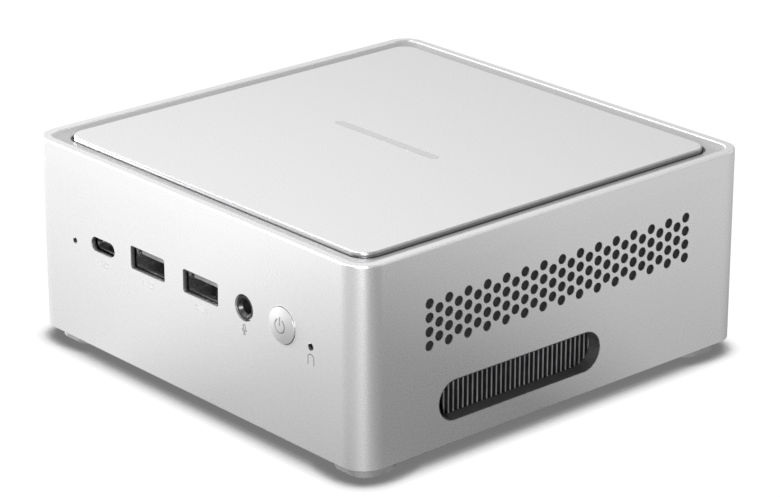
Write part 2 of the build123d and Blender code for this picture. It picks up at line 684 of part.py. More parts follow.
# ---- board ---------------------------------------------------------------------------------------
def make_mainboard():
    """Main circuit board with cut corners, screw holes and the cooler's holes."""
    board = block((-BOARD_HALF_X, BOARD_HALF_X), (-BOARD_HALF_Y, BOARD_HALF_Y), (BOARD_BOTTOM, BOARD_TOP))
    for x, y in corners(1, 1):
        board -= block(sorted((x * 49.8, x * 62)), sorted((y * 50.1, y * 62)), (BOARD_BOTTOM, BOARD_TOP))
    for x, y in corners(POST_X, POST_Y):
        board -= rod(x, y, (BOARD_BOTTOM, BOARD_TOP), 1.25)
    for dx, dy in corners(COOLER_SCREW_DX, COOLER_SCREW_DY):
        board -= rod(CPU_X + dx, CPU_Y + dy, (BOARD_BOTTOM, BOARD_TOP), 1.2)
    return board


def make_board_screws():
    one = screw(2.3, 1.7, BOARD_SCREW_R, 8.0)
    return [Pos(x, y, BOARD_BOTTOM) * one for x, y in corners(POST_X, POST_Y)]


def make_board_chips():
    """Packages on the board's upper face: x, y, width, depth, height."""
    packages = [(43.0, -27.0, 9.0, 9.0, 1.0), (46.0, -42.0, 7.0, 7.0, 0.9), (-5.4, -52.0, 5.0, 5.0, 0.9),
                (-30.0, -50.0, 6.0, 6.0, 0.9), (30.0, 37.0, 8.0, 8.0, 1.0), (12.0, 43.5, 5.0, 6.0, 1.0),
                (44.0, 40.5, 6.0, 5.0, 1.2), (-34.5, 39.9, 10.0, 2.6, 2.4), (13.0, 12.0, 4.0, 5.0, 1.0)]
    return [Pos(x, y, BOARD_TOP + h / 2) * Box(w, d, h) for x, y, w, d, h in packages]


def make_board_chokes():
    """Row of moulded coils for the processor's supply."""
    coils = []
    for i in range(5):
        coil = block((29.0, 35.4), (-4.0 + 7.2 * i, 2.4 + 7.2 * i), (BOARD_TOP, BOARD_TOP + 4.0))
        coils.append(chamfer(coil.edges().filter_by(Axis.Z), 0.8))
    return coils


def make_board_capacitors():
    """Small metal-can capacitors beside the coils."""
    cans = []
    for i in range(4):
        can = rod(24.5, 0.5 + 7.2 * i, (BOARD_TOP, BOARD_TOP + 5.6), 2.1)
        cans.append(fillet(can.edges().group_by(Axis.Z)[-1], 0.4))
    return cans


def make_coin_cell():
    """Backup cell in its wrap, stuck on the board."""
    cell = rod(BATTERY_X, BATTERY_Y, (BOARD_TOP + 0.1, BOARD_TOP + 3.5), 10.2)
    return fillet(cell.edges(), 0.5)


# ---- cooler --------------------------------------------------------------------------------------
def make_cpu_package():
    """Processor on the board's underside: its carrier, and the die that meets the cold plate."""
    carrier_bottom = BOARD_BOTTOM - 1.1
    carrier = block((CPU_X - 17, CPU_X + 17), (CPU_Y - 12, CPU_Y + 12), (carrier_bottom, BOARD_BOTTOM))
    return carrier + block((CPU_X - 9, CPU_X + 9), (CPU_Y - 5, CPU_Y + 5), (PLATE_Z1 + FIT, carrier_bottom))


def make_cold_plate():
    """Copper plate with four sprung arms."""
    plate = block((CPU_X - 20, CPU_X + 20), (CPU_Y - 14, CPU_Y + 14), (PLATE_Z0, PLATE_Z1))
    for dx, dy in corners(COOLER_SCREW_DX, COOLER_SCREW_DY):
        x, y = CPU_X + dx, CPU_Y + dy
        side = math.copysign(1, dx)
        plate += block(sorted((x, x - side * 8)), (y - 2.6, y + 2.6), COOLER_ARM_Z)
        plate += rod(x, y, COOLER_ARM_Z, 2.6)
        plate += block(sorted((x - side * 8, x - side * 4)), sorted((y, CPU_Y)), COOLER_ARM_Z)
        plate -= rod(x, y, COOLER_ARM_Z, 1.2)
    return plate


def make_cooler_screws():
    spots = corners(COOLER_SCREW_DX, COOLER_SCREW_DY)
    one = screw(2.3, 1.6, 1.0, 6.9)
    return [Pos(CPU_X + dx, CPU_Y + dy, COOLER_ARM_Z[0] - 0.1) * one for dx, dy in spots]


def make_cooler_nuts():
    nut = tube(0, 0, (BOARD_TOP, BOARD_TOP + 1.3), 2.1, 1.05)
    return [Pos(CPU_X + dx, CPU_Y + dy, 0) * nut for dx, dy in corners(COOLER_SCREW_DX, COOLER_SCREW_DY)]


def make_heat_pipe(step):
    """Flattened pipe from under the cold plate to the top of the fins; step 0 is the inner one."""
    y = CPU_Y + (step - 0.5) * PIPE_PITCH
    x = (FIN_X0 + FIN_X1) / 2 + (step - 0.5) * PIPE_PITCH
    z = FIN_Z1 + PIPE_HEIGHT / 2
    corner = 7.0 + step * PIPE_PITCH
    path = FilletPolyline((CPU_X - 20, y, z), (x, y, z), (x, SLOT_Y - 25, z), radius=corner)
    across = Plane(origin=path @ 0, x_dir=(0, 1, 0), z_dir=path % 0)
    return sweep(across * RectangleRounded(PIPE_WIDTH, PIPE_HEIGHT, PIPE_ROUND), path=path)


def make_fin_stack():
    """Thin upright fins between two folded plates, behind the side slot."""
    low = SLOT_Y - (FIN_COUNT - 1) / 2 * FIN_PITCH
    span = (low - FIN_THICK / 2, -low + 2 * SLOT_Y + FIN_THICK / 2)
    stack = block((FIN_X0, FIN_X1), span, (FIN_Z0, FIN_Z0 + FIN_THICK))
    stack += block((FIN_X0, FIN_X1), span, (FIN_Z1 - FIN_THICK, FIN_Z1))
    for i in range(FIN_COUNT):
        y = low + i * FIN_PITCH
        stack += block((FIN_X0, FIN_X1), (y - FIN_THICK / 2, y + FIN_THICK / 2), (FIN_Z0, FIN_Z1))
    return stack


def fan_outline():
    """Outer outline of the blower, from above."""
    left = FAN_X - FAN_HALF
    middle = Pos((left + FAN_RIGHT) / 2, FAN_Y)
    return middle * RectangleRounded(FAN_RIGHT - left, 2 * FAN_HALF, 6.0)


def make_blower_housing():
    """Blower tray: floor with the inlet, and the scroll wall that opens towards the fins."""
    floor_top = FAN_BOTTOM + 1.0
    housing = extrude(Pos(0, 0, FAN_BOTTOM) * fan_outline(), FAN_TOP - FAN_COVER - FAN_BOTTOM)
    mouth = FAN_RIGHT + 0.8
    scroll = Pos(FAN_X, FAN_Y) * Circle(ROTOR_R + 6.5)
    scroll += Pos((FAN_X + mouth) / 2, FAN_Y) * Rectangle(mouth - FAN_X, FAN_MOUTH)
    housing -= extrude(Pos(0, 0, floor_top) * scroll, FAN_TOP - floor_top)
    housing -= rod(FAN_X, FAN_Y, (FAN_BOTTOM, floor_top), 24.0)
    return housing


def make_blower_cover():
    """Metal lid of the blower, which carries its motor."""
    return extrude(Pos(0, 0, FAN_TOP - FAN_COVER) * fan_outline(), FAN_COVER)


def make_blower_motor():
    """Coil star and bearing tube that hang from the blower's cover."""
    top = FAN_TOP - FAN_COVER
    poles = 9
    span = (13.4, 16.9)
    motor = tube(FAN_X, FAN_Y, (12.6, top), 2.6, BEARING_R)
    motor += tube(FAN_X, FAN_Y, (17.6, top), 12.0, 2.0)
    arm = block((2.3, 9.6), (-0.9, 0.9), span) + block((9.4, 10.6), (-2.6, 2.6), span)
    for i in range(poles):
        motor += Pos(FAN_X, FAN_Y, 0) * Rot(0, 0, 360 / poles * i) * arm
    return motor


def make_blower_rotor():
    """Hub cup, shaft and a ring of swept blades."""
    z0, z1 = ROTOR_Z
    outline = Circle(ROTOR_HUB_R)
    lean = math.radians(14)
    root = ROTOR_HUB_R - 0.6
    for i in range(ROTOR_BLADES):
        a = 2 * math.pi * i / ROTOR_BLADES
        points = []
        for share in (0.0, 0.5, 1.0):
            radius = root + share * (ROTOR_R - root)
            bend = a - lean * share * share
            points.append((radius * math.cos(bend), radius * math.sin(bend)))
        blade = ThreePointArc(*points)
        outline += trace(blade, 0.6)
    rotor = extrude(Pos(FAN_X, FAN_Y, z0) * outline, z1 - z0)
    rotor -= rod(FAN_X, FAN_Y, (z0 + 1.0, z1), ROTOR_HUB_R - 1.2)
    rotor += rod(FAN_X, FAN_Y, (z0 + 1.0, z1 + 0.1), SHAFT_R)
    rotor += tube(FAN_X, FAN_Y, (z0, z0 + 0.8), ROTOR_R, ROTOR_R - 1.5)
    return rotor


# ---- memory --------------------------------------------------------------------------------------
def make_memory_socket():
    """Two-storey socket with the low rails that the modules' ends lie over."""
    x0, x1 = MEMORY_SOCKET_X
    half = MEMORY_HALF_Y + 1.7
    slot_half = MEMORY_HALF_Y + 0.1
    socket = block((x0, x1), (-half, half), (BOARD_TOP, MEMORY_LEVELS[1] + 2.4))
    for z in MEMORY_LEVELS:
        seat = (z - 0.1, z + MEMORY_THICK + 0.1)
        socket -= block((x0, MEMORY_X[1] + 0.1), (-slot_half, slot_half), seat)
    for side in (-1, 1):
        rail = sorted((side * half, side * (half + 1.5)))
        socket += block((MEMORY_X[0] + 1.0, x1), rail, (BOARD_TOP, MEMORY_LEVELS[0] - 1.0))
    return socket


def make_memory_module(level):
    """Bare module board with its edge contacts in the socket and a notch in each end."""
    z = MEMORY_LEVELS[level]
    board = block(MEMORY_X, (-MEMORY_HALF_Y, MEMORY_HALF_Y), (z, z + MEMORY_THICK))
    for side in (-1, 1):
        board -= rod(-49.0, side * MEMORY_HALF_Y, (z, z + MEMORY_THICK), 1.8)
    return board


def make_memory_chips(level):
    """Memory packages on both faces of one module."""
    z = MEMORY_LEVELS[level]
    chips = []
    for y in (-26.0, -10.0, 10.0, 26.0):
        for z0 in (z - MEMORY_CHIP_THICK, z + MEMORY_THICK):
            chips.append(block((-47.0, -35.5), (y - 4.6, y + 4.6), (z0, z0 + MEMORY_CHIP_THICK)))
    return chips


def make_memory_latch(level, side):
    """Sprung arm that holds one end of a module down with its nub."""
    z = MEMORY_LEVELS[level]
    span = (z - 0.5, z + 2.0)
    inner = MEMORY_HALF_Y + 0.3
    arm = block((LATCH_TIP_X, LATCH_PIVOT_X), sorted((side * inner, side * (inner + 0.7))), span)
    nub_z = (z + MEMORY_THICK + FIT, span[1])
    nub = block((-50.6, -47.4), sorted((side * (inner - 1.5), side * inner)), nub_z)
    tab = block((LATCH_TIP_X - 1.5, LATCH_TIP_X), sorted((side * inner, side * (inner + 1.5))), span)
    return arm + nub + tab


# ---- drive and radio -----------------------------------------------------------------------------
def card_socket(x, y_edge, z):
    """Edge socket for a plug-in card whose front edge is at y_edge."""
    half, room = CARD_WIDTH / 2 + 0.2, CARD_WIDTH / 2 + 0.1
    body = block((x - half, x + half), (y_edge - 5.0, y_edge + 2.0), (BOARD_TOP, z + 2 * CARD_THICK))
    slot = (z - 0.1, z + CARD_THICK + 0.1)
    return body - block((x - room, x + room), (y_edge - 0.1, y_edge + 2.0), slot)


def card_board(x, y, z):
    """Bare card with a half-round notch for its screw."""
    board = block((x - CARD_WIDTH / 2, x + CARD_WIDTH / 2), y, (z, z + CARD_THICK))
    return board - rod(x, y[1], (z, z + CARD_THICK), 1.75)


def card_standoff(x, y, z):
    """Threaded pillar whose step the card's end rests on."""
    top = z + CARD_THICK
    pillar = rod(x, y, (BOARD_TOP, z), 2.4) + rod(x, y, (z, top), 1.6)
    return pillar - rod(x, y, (BOARD_TOP + 0.5, top), 0.95)


def card_screw(x, y, z):
    """Flat-head screw put in from above, over the card's notch."""
    return Pos(x, y, z + CARD_THICK) * Rot(180, 0, 0) * screw(2.5, 0.9, 0.9, 2.4)


def make_drive_chips():
    """Controller and memory packages on the drive."""
    z = DRIVE_Z + CARD_THICK
    spans = [(-33.0, -20.0, 6.0), (-14.0, 4.0, 7.0), (9.0, 27.0, 7.0)]
    return [block((DRIVE_X - w, DRIVE_X + w), (y0, y1), (z, z + 1.0)) for y0, y1, w in spans]


def make_radio_shield():
    """Tin shield on the radio card, with the two aerial plugs beside it."""
    z = RADIO_Z + CARD_THICK
    shield = block((RADIO_X - 8.5, RADIO_X + 8.5), (-34.0, -15.5), (z, z + 1.5))
    places = [RADIO_X + side * AERIAL_PLUG_X for side in (-1, 1)]
    plugs = [rod(x, AERIAL_PLUG_Y, (z, z + AERIAL_PLUG_H), 1.1) for x in places]
    return [fillet(shield.edges().group_by(Axis.Z)[-1], 0.3)] + plugs


def make_aerial(side):
    """Flat aerial stuck to the liner's inner face, one on each side."""
    face = SIDE - LINER_INNER - 0.15
    return block(sorted((side * face, side * (face - 0.5))), (-40.0, -12.0), (43.0, 48.0))


def lead_path(points, radius):
    """A lead: one tube along straight runs joined by tangent arcs, whose radii are printed."""
    radii = []
    for before, here, after in zip(points, points[1:], points[2:]):
        a = Vector(*here) - Vector(*before)
        b = Vector(*after) - Vector(*here)
        turn = math.radians(a.get_angle(b))
        radii.append(0.45 * min(a.length, b.length) / math.tan(turn / 2))
    print("lead radii:", [round(value, 1) for value in radii])
    path = FilletPolyline(*points, radius=radii)
    return sweep(Plane(origin=path @ 0, z_dir=path % 0) * Circle(radius), path=path)


def make_aerial_lead(side):
    """Thin coaxial lead from the radio card's plug, over the board, to one aerial."""
    top = RADIO_Z + CARD_THICK + AERIAL_PLUG_H
    start = (RADIO_X + side * AERIAL_PLUG_X, AERIAL_PLUG_Y, top)
    if side > 0:
        points = [start, (32.0, -12.0, top + 1.3), (38.5, -14.0, top + 1.4), (48.0, -17.0, top + 3.0),
                  (55.5, -20.0, top + 7.0), (58.8, -22.0, 45.5)]
    else:
        points = [start, (18.0, -12.0, top + 1.6), (12.0, -26.0, top + 2.2), (4.0, -34.5, top + 3.0),
                  (-10.0, -42.0, 38.5), (-26.0, -41.5, 41.0), (-42.0, -38.0, 43.5), (-54.0, -31.0, 45.0),
                  (-58.8, -24.0, 45.6)]
    return lead_path(points, 0.6)


# ---- bridge and its fan --------------------------------------------------------------------------
def bridge_legs():
    return [(x, side * BRIDGE_LEG_Y) for x in BRIDGE_LEG_X for side in (-1, 1)]


def make_bridge():
    """Pressed plate on four legs that carries the small fan over the drive."""
    plate = block(BRIDGE_X, (-BRIDGE_HALF_Y, BRIDGE_HALF_Y), (BRIDGE_Z0, BRIDGE_Z1))
    plate = fillet(plate.edges().filter_by(Axis.Z), 3.0)
    plate -= rod(TOP_FAN_X, 0, (BRIDGE_Z0, BRIDGE_Z1), TOP_FAN_DUCT_R)
    for radius in (8.5, 14.0, 19.5):
        plate += tube(TOP_FAN_X, 0, (BRIDGE_Z0, BRIDGE_Z1), radius + 0.6, radius - 0.6)
    middle = Pos(TOP_FAN_X, 0, (BRIDGE_Z0 + BRIDGE_Z1) / 2)
    spoke = Box(2 * TOP_FAN_DUCT_R + 1, 1.4, BRIDGE_Z1 - BRIDGE_Z0)
    for turn in (45, 135):
        plate += middle * Rot(0, 0, turn) * spoke
    plate += rod(TOP_FAN_X, 0, (BRIDGE_Z0, BRIDGE_Z1), 3.5)
    for x, y in bridge_legs():
        plate += rod(x, y, (BOARD_TOP, BRIDGE_Z0), 2.2)
        plate -= rod(x, y, (36.0, BRIDGE_Z1), 1.05)
    slots = [Pos(x, 0) * Rot(0, 0, 90) * SlotOverall(34.0, 2.2) for x in (44.5, 48.0)]
    plate -= extrude(Pos(0, 0, BRIDGE_Z0) * (Sketch() + slots), BRIDGE_Z1 - BRIDGE_Z0)
    return plate


def make_bridge_screws():
    return [Pos(x, y, BRIDGE_Z1) * Rot(180, 0, 0) * screw(2.3, 1.5, 1.0, 9.0) for x, y in bridge_legs()]


def make_top_fan_frame():
    """Square fan frame with the round duct and three struts to its motor seat."""
    half = TOP_FAN_SIZE / 2
    outer = block((TOP_FAN_X - half, TOP_FAN_X + half), (-half, half), (TOP_FAN_Z0, BRIDGE_Z0))
    frame = fillet(outer.edges().filter_by(Axis.Z), 3.0)
    frame -= rod(TOP_FAN_X, 0, (TOP_FAN_Z0, BRIDGE_Z0), TOP_FAN_DUCT_R)
    seat = (TOP_FAN_Z0, TOP_FAN_Z0 + 1.0)
    frame += tube(TOP_FAN_X, 0, seat, TOP_HUB_R, 1.8)
    strut = block((TOP_HUB_R - 1, TOP_FAN_DUCT_R + 0.5), (-0.9, 0.9), seat)
    for turn in (90, 210, 330):
        frame += Pos(TOP_FAN_X, 0, 0) * Rot(0, 0, turn) * strut
    return frame


def make_top_fan_motor():
    """Bearing tube and coil star that stand on the frame's seat."""
    base = TOP_FAN_Z0
    poles = 6
    span = (base + 2.0, base + 4.6)
    motor = tube(TOP_FAN_X, 0, (base, base + 6.0), 1.75, BEARING_R)
    arm = block((1.5, 5.6), (-0.7, 0.7), span) + block((5.4, 6.4), (-2.2, 2.2), span)
    for i in range(poles):
        motor += Pos(TOP_FAN_X, 0, 0) * Rot(0, 0, 360 / poles * i) * arm
    return motor


def make_top_fan_rotor():
    """Hub cup, shaft and pitched blades."""
    z0, z1 = TOP_FAN_Z0 + 1.4, BRIDGE_Z0 - 0.4
    rotor = rod(TOP_FAN_X, 0, (z0, z1), TOP_HUB_R) - rod(TOP_FAN_X, 0, (z0, z1 - 1.0), TOP_HUB_R - 1.2)
    rotor += rod(TOP_FAN_X, 0, (TOP_FAN_Z0 + 1.0, z1 - 1.0), SHAFT_R)
    reach = TOP_ROTOR_R - TOP_HUB_R + 0.6
    blade = Pos(TOP_HUB_R - 0.6 + reach / 2, 0, (z0 + z1) / 2) * Rot(38, 0, 0) * Box(reach, 8.2, 0.8)
    ring_room = tube(0, 0, (z0, z1), TOP_ROTOR_R, TOP_HUB_R - 0.6)
    for i in range(TOP_BLADES):
        rotor += Pos(TOP_FAN_X, 0, 0) * Rot(0, 0, 360 / TOP_BLADES * i) * (blade & ring_room)
    return rotor


def make_front_socket_shells():
    """Metal cans of the front's two flat sockets and its small oval one."""
    shells = [at_front(type_a_shell(), x, TYPE_A_Z) for x in TYPE_A_X]
    return shells + [at_front(type_c_shell(), TYPE_C_X, TYPE_C_Z)]


def make_front_socket_tongues():
    tongues = [at_front(type_a_tongue(), x, TYPE_A_Z) for x in TYPE_A_X]
    return tongues + [at_front(type_c_tongue(), TYPE_C_X, TYPE_C_Z)]


def make_rear_socket_shells():
    """Metal cans of the rear's video, small oval, double flat and network sockets."""
    shells = [at_rear(video_shell(), x, VIDEO_Z) for x in VIDEO_X]
    shells.append(at_rear(type_c_shell(), REAR_C_X, TYPE_C_Z))
    shells.append(at_rear(stack_shell(), STACK_X, STACK_Z))
    shells.append(at_rear(lan_shell(), LAN_X, LAN_Z))
    return shells


def make_rear_socket_tongues():
    tongues = [at_rear(video_tongue(), x, VIDEO_Z) for x in VIDEO_X]
    tongues.append(at_rear(type_c_tongue(), REAR_C_X, TYPE_C_Z))
    return tongues + [at_rear(tongue, STACK_X, STACK_Z) for tongue in stack_tongues()]


def make_network_contacts():
    return [at_rear(wire, LAN_X, LAN_Z) for wire in lan_contacts()]


def make_card_sockets():
    """Edge sockets of the drive and the radio card."""
    return [card_socket(DRIVE_X, DRIVE_Y[0], DRIVE_Z), card_socket(RADIO_X, RADIO_Y[0], RADIO_Z)]


def make_card_standoffs():
    return [card_standoff(DRIVE_X, DRIVE_Y[1], DRIVE_Z), card_standoff(RADIO_X, RADIO_Y[1], RADIO_Z)]


def make_inner_screws():
    """Screws of the board, the two cards, the bridge and the cooler, with the cooler's nuts."""
    cards = [card_screw(DRIVE_X, DRIVE_Y[1], DRIVE_Z), card_screw(RADIO_X, RADIO_Y[1], RADIO_Z)]
    return make_board_screws() + cards + make_bridge_screws() + make_cooler_screws() + make_cooler_nuts()


def build_parts():
    """Every node of the model by name."""
    parts = {
        **split_case(make_case_shell()),
        "inner_liner": make_inner_liner(),
        "base_cover": make_base_cover(),
        "lid": make_lid(),
        "lid_studs": make_lid_studs(),
        "lid_catches": make_lid_catches(),
        "lid_badge": make_lid_badge(),
        "rubber_feet": make_feet(),
        "base_screws": make_base_screws(),
        "bracket_inserts": make_bracket_inserts(),
        "dust_filters": [make_side_filter(-1), make_side_filter(1), make_rear_filter(), make_base_filter()],
        "power_button": make_power_button(),
        "power_button_guide": make_button_guide(),
        "push_switches": [make_power_switch(), make_reset_switch()],
        "power_switch_stem": make_power_switch_stem(),
        "reset_switch_stem": make_reset_switch_stem(),
        "microphone": make_microphone(),
        "microphone_boot": make_microphone_boot(),
        "front_socket_shells": make_front_socket_shells(),
        "front_socket_tongues": make_front_socket_tongues(),
        "audio_jack": make_audio_jack(),
        "rear_socket_shells": make_rear_socket_shells(),
        "rear_socket_tongues": make_rear_socket_tongues(),
        "rear_contacts": make_network_contacts() + [at_rear(dc_pin(), DC_X, DC_Z)],
        "power_inlet_shell": at_rear(dc_shell(), DC_X, DC_Z),
        "mainboard": make_mainboard(),
        "inner_screws": make_inner_screws(),
        "board_chips": make_board_chips(),
        "board_coils": make_board_chokes() + make_board_capacitors(),
        "coin_cell": make_coin_cell(),
        "processor": make_cpu_package(),
        "cold_plate": make_cold_plate(),
        "heat_pipes": [make_heat_pipe(0), make_heat_pipe(1)],
        "fin_stack": make_fin_stack(),
        "blower_housing": make_blower_housing(),
        "blower_cover": make_blower_cover(),
        "blower_motor": make_blower_motor(),
        "blower_rotor": make_blower_rotor(),
        "memory_socket": make_memory_socket(),
        "memory_modules": [make_memory_module(0), make_memory_module(1)],
        "memory_chips": make_memory_chips(0) + make_memory_chips(1),
        "card_sockets": make_card_sockets(),
        "card_standoffs": make_card_standoffs(),
        "plug_in_cards": [card_board(DRIVE_X, DRIVE_Y, DRIVE_Z), card_board(RADIO_X, RADIO_Y, RADIO_Z)],
        "drive_chips": make_drive_chips(),
        "radio_shield": make_radio_shield(),
        "aerials": [make_aerial(-1), make_aerial(1)],
        "aerial_leads": [make_aerial_lead(-1), make_aerial_lead(1)],
        "bridge": make_bridge(),
        "top_fan_frame": make_top_fan_frame(),
        "top_fan_motor": make_top_fan_motor(),
        "top_fan_rotor": make_top_fan_rotor(),
    }
    for level, storey in enumerate(("lower", "upper")):
        for side, end in ((-1, "front"), (1, "rear")):
            parts[f"{storey}_{end}_memory_latch"] = make_memory_latch(level, side)
    return parts


def save(parts):
    os.makedirs("parts", exist_ok=True)
    for name, shape in parts.items():
        if isinstance(shape, list):
            shape = Compound(shape)
        export_step(shape, f"parts/{name}.step")
    print(len(parts), "parts written")


if __name__ == "__main__":
    save(build_parts())
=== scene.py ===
# %% [markdown]
# # A small square desktop computer, finished in Blender
# The shape of this computer comes from CAD and stays where it is. This lesson gives it its surfaces: a
# satin silver case, a rim with crisp edges, dark vents, sockets with their contacts, and the parts that
# show when the lid is lifted. We load the frame first, because every piece is placed from it.

import json
import math
import random
import bmesh
import bpy
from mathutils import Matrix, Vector
from mathutils.bvhtree import BVHTree


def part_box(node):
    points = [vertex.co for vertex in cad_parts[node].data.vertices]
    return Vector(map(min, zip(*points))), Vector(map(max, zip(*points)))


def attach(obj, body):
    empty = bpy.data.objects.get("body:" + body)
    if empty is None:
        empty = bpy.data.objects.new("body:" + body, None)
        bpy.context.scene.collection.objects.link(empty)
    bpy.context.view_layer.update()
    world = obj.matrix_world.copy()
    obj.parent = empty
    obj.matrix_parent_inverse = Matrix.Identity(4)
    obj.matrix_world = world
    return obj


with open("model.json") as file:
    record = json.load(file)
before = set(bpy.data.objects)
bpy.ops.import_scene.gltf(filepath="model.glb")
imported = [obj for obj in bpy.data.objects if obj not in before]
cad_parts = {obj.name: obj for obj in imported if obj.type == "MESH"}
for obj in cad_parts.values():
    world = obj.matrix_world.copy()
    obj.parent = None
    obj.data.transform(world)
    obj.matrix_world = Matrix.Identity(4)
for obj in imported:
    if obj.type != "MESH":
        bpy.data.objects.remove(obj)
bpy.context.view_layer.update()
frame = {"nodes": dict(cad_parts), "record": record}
MM = 0.001

# %% [markdown]
# ## The camera
# A product is usually shot with a long lens from well back, so that its edges stay nearly parallel. The
# camera is placed by its azimuth and elevation round a point inside the case, because those two angles
# and a distance are easier to think about than a position.

# %% Camera
CAMERA_AZIMUTH = math.radians(48.543)
CAMERA_ELEVATION = math.radians(21.059)
CAMERA_DISTANCE = 784.9 * MM
CAMERA_TARGET = Vector((1.38, 0.0, 25.77)) * MM
FOCAL_LENGTH = 142.39


def direction(azimuth, elevation):
    """A unit vector; azimuth 0 is straight in front of the object and turns towards its right side."""
    flat = math.cos(elevation)
    return Vector((math.sin(azimuth) * flat, -math.cos(azimuth) * flat, math.sin(elevation)))


camera = bpy.data.objects.new("camera", bpy.data.cameras.new("camera"))
camera.data.lens = FOCAL_LENGTH
camera.data.sensor_width = 36.0
camera.data.clip_start = 0.01
camera.data.clip_end = 20.0
towards_camera = direction(CAMERA_AZIMUTH, CAMERA_ELEVATION)
camera.location = CAMERA_TARGET + towards_camera * CAMERA_DISTANCE
camera.rotation_euler = towards_camera.to_track_quat("Z", "Y").to_euler()
bpy.context.scene.collection.objects.link(camera)
bpy.context.scene.camera = camera
bpy.context.scene.view_settings.view_transform = "Standard"
print("camera at", [round(value, 3) for value in camera.location])

# %% [markdown]
# ## The floor
# A silver box shows whatever stands round it. Its upright sides are seen from above, so they mirror the
# floor, and a plain white floor would make every side equally white. Photographers lay grey and black
# cards on the floor, just out of sight, until each side has its own tone. The floor here does that job by
# itself: one mix shader shows the camera a plain white floor, and shows the object a ring of greys, named
# below from the left, round the front, to the right and the rear. Ambient occlusion draws the soft contact
# shadow.

# %% Floor
CARD_TONES = (0.55, 0.62, 1.00, 0.46, 0.30, 0.03, 0.04, 0.60, 0.56, 0.60, 0.60, 0.58)
CARD_NEAR = 65 * MM
CARD_FAR = 220 * MM
CARD_NEAR_LIGHT = 0.53
SHADOW_REACH = 6 * MM
SHADOW_RANGE = (0.60, 0.97)
SHADOW_TONES = (0.18, 1.06)
FLOOR_REACH = 6.0


def node_material(name):
    """A material with an empty node tree, its output and its shader."""
    material = bpy.data.materials.new(name)
    material.use_nodes = True
    tree = material.node_tree
    tree.nodes.clear()
    output = tree.nodes.new("ShaderNodeOutputMaterial")
    shader = tree.nodes.new("ShaderNodeBsdfPrincipled")
    tree.links.new(shader.outputs[0], output.inputs[0])
    return material, tree, shader


def add(tree, kind, **sockets):
    """A node of this kind, with the named inputs set or linked."""
    node = tree.nodes.new(kind)
    for name, value in sockets.items():
        socket = node.inputs[name.replace("_", " ")]
        if isinstance(value, bpy.types.NodeSocket):
            tree.links.new(value, socket)
        else:
            socket.default_value = value
    return node


def combine(tree, operation, first, second):
    """One step of arithmetic on two numbers or sockets."""
    node = tree.nodes.new("ShaderNodeMath")
    node.operation = operation
    for socket, value in zip(node.inputs, (first, second)):
        if isinstance(value, bpy.types.NodeSocket):
            tree.links.new(value, socket)
        else:
            socket.default_value = value
    return node.outputs[0]


def vector_step(tree, operation, first, second=(0, 0, 0)):
    """One step of arithmetic on two vectors."""
    node = tree.nodes.new("ShaderNodeVectorMath")
    node.operation = operation
    tree.links.new(first, node.inputs[0])
    node.inputs[1].default_value = second
    return node


def object_coordinates(tree):
    """Places on the object, in metres."""
    return tree.nodes.new("ShaderNodeTexCoord").outputs["Object"]


def between(tree, value, low, high, start=0.3, end=0.7):
    """Spreads a value over a range of numbers."""
    node = add(tree, "ShaderNodeMapRange", Value=value, From_Min=start, From_Max=end, To_Min=low, To_Max=high)
    return node.outputs["Result"]


def ring_of_cards(tree):
    """Grey tones by direction round the object, darker close to it as painted shade of the floor beside the
    case.
    """
    place = object_coordinates(tree)
    around = add(tree, "ShaderNodeTexGradient", Vector=place)
    around.gradient_type = "RADIAL"
    ramp = add(tree, "ShaderNodeValToRGB", Fac=around.outputs["Fac"])
    stops = ramp.color_ramp.elements
    while len(stops) < len(CARD_TONES):
        stops.new(0.5)
    for index, tone in enumerate(CARD_TONES):
        stops[index].position = index / len(CARD_TONES)
        stops[index].color = (tone, tone, tone, 1)
    away = vector_step(tree, "LENGTH", place).outputs["Value"]
    near = between(tree, away, CARD_NEAR_LIGHT, 1.0, CARD_NEAR, CARD_FAR)
    return combine(tree, "MULTIPLY", ramp.outputs[0], near)


def make_floor():
    """A wide floor: white with a contact shadow to the camera, a ring of greys to the object."""
    reach = FLOOR_REACH
    mesh = bpy.data.meshes.new("floor")
    outline = [(-reach, -reach, 0), (reach, -reach, 0), (reach, reach, 0), (-reach, reach, 0)]
    mesh.from_pydata(outline, [], [(0, 1, 2, 3)])
    floor = bpy.data.objects.new("floor", mesh)
    bpy.context.scene.collection.objects.link(floor)
    material, tree, shader = node_material("pale_floor")
    tree.nodes.remove(shader)
    occlusion = add(tree, "ShaderNodeAmbientOcclusion", Distance=SHADOW_REACH)
    occlusion.samples = 8
    light = between(tree, occlusion.outputs["AO"], *SHADOW_TONES, *SHADOW_RANGE)
    seen = add(tree, "ShaderNodeEmission", Strength=light)
    mirrored = add(tree, "ShaderNodeEmission", Strength=ring_of_cards(tree))
    mix = tree.nodes.new("ShaderNodeMixShader")
    tree.links.new(tree.nodes.new("ShaderNodeLightPath").outputs["Is Camera Ray"], mix.inputs[0])
    tree.links.new(mirrored.outputs[0], mix.inputs[1])
    tree.links.new(seen.outputs[0], mix.inputs[2])
    output = next(node for node in tree.nodes if node.type == "OUTPUT_MATERIAL")
    tree.links.new(mix.outputs[0], output.inputs[0])
    mesh.materials.append(material)


make_floor()
print("floor laid, with", len(CARD_TONES), "tones round it")

# %% [markdown]
# ## The lights
# Three soft boxes: a low one at the left that makes the front brighter than the side and fades along it, a
# small strip near the lens that draws the bright line down the near corner, and a weak one over the
# front. Broad glows in the world stand in for the lit walls of the studio, and the lid mirrors the
# strongest of them. Each glow is a power of the angle from its middle, which is a simple way to make a
# soft round patch.

# %% Soft boxes and glows
LIGHT_AIM = 30 * MM
GLOWS = ((-135, 20, 0.72, 7), (-75, 25, 1.70, 6), (165, 25, 1.20, 6), (90, 60, 0.12, 6))
DIM_SKY = 0.02


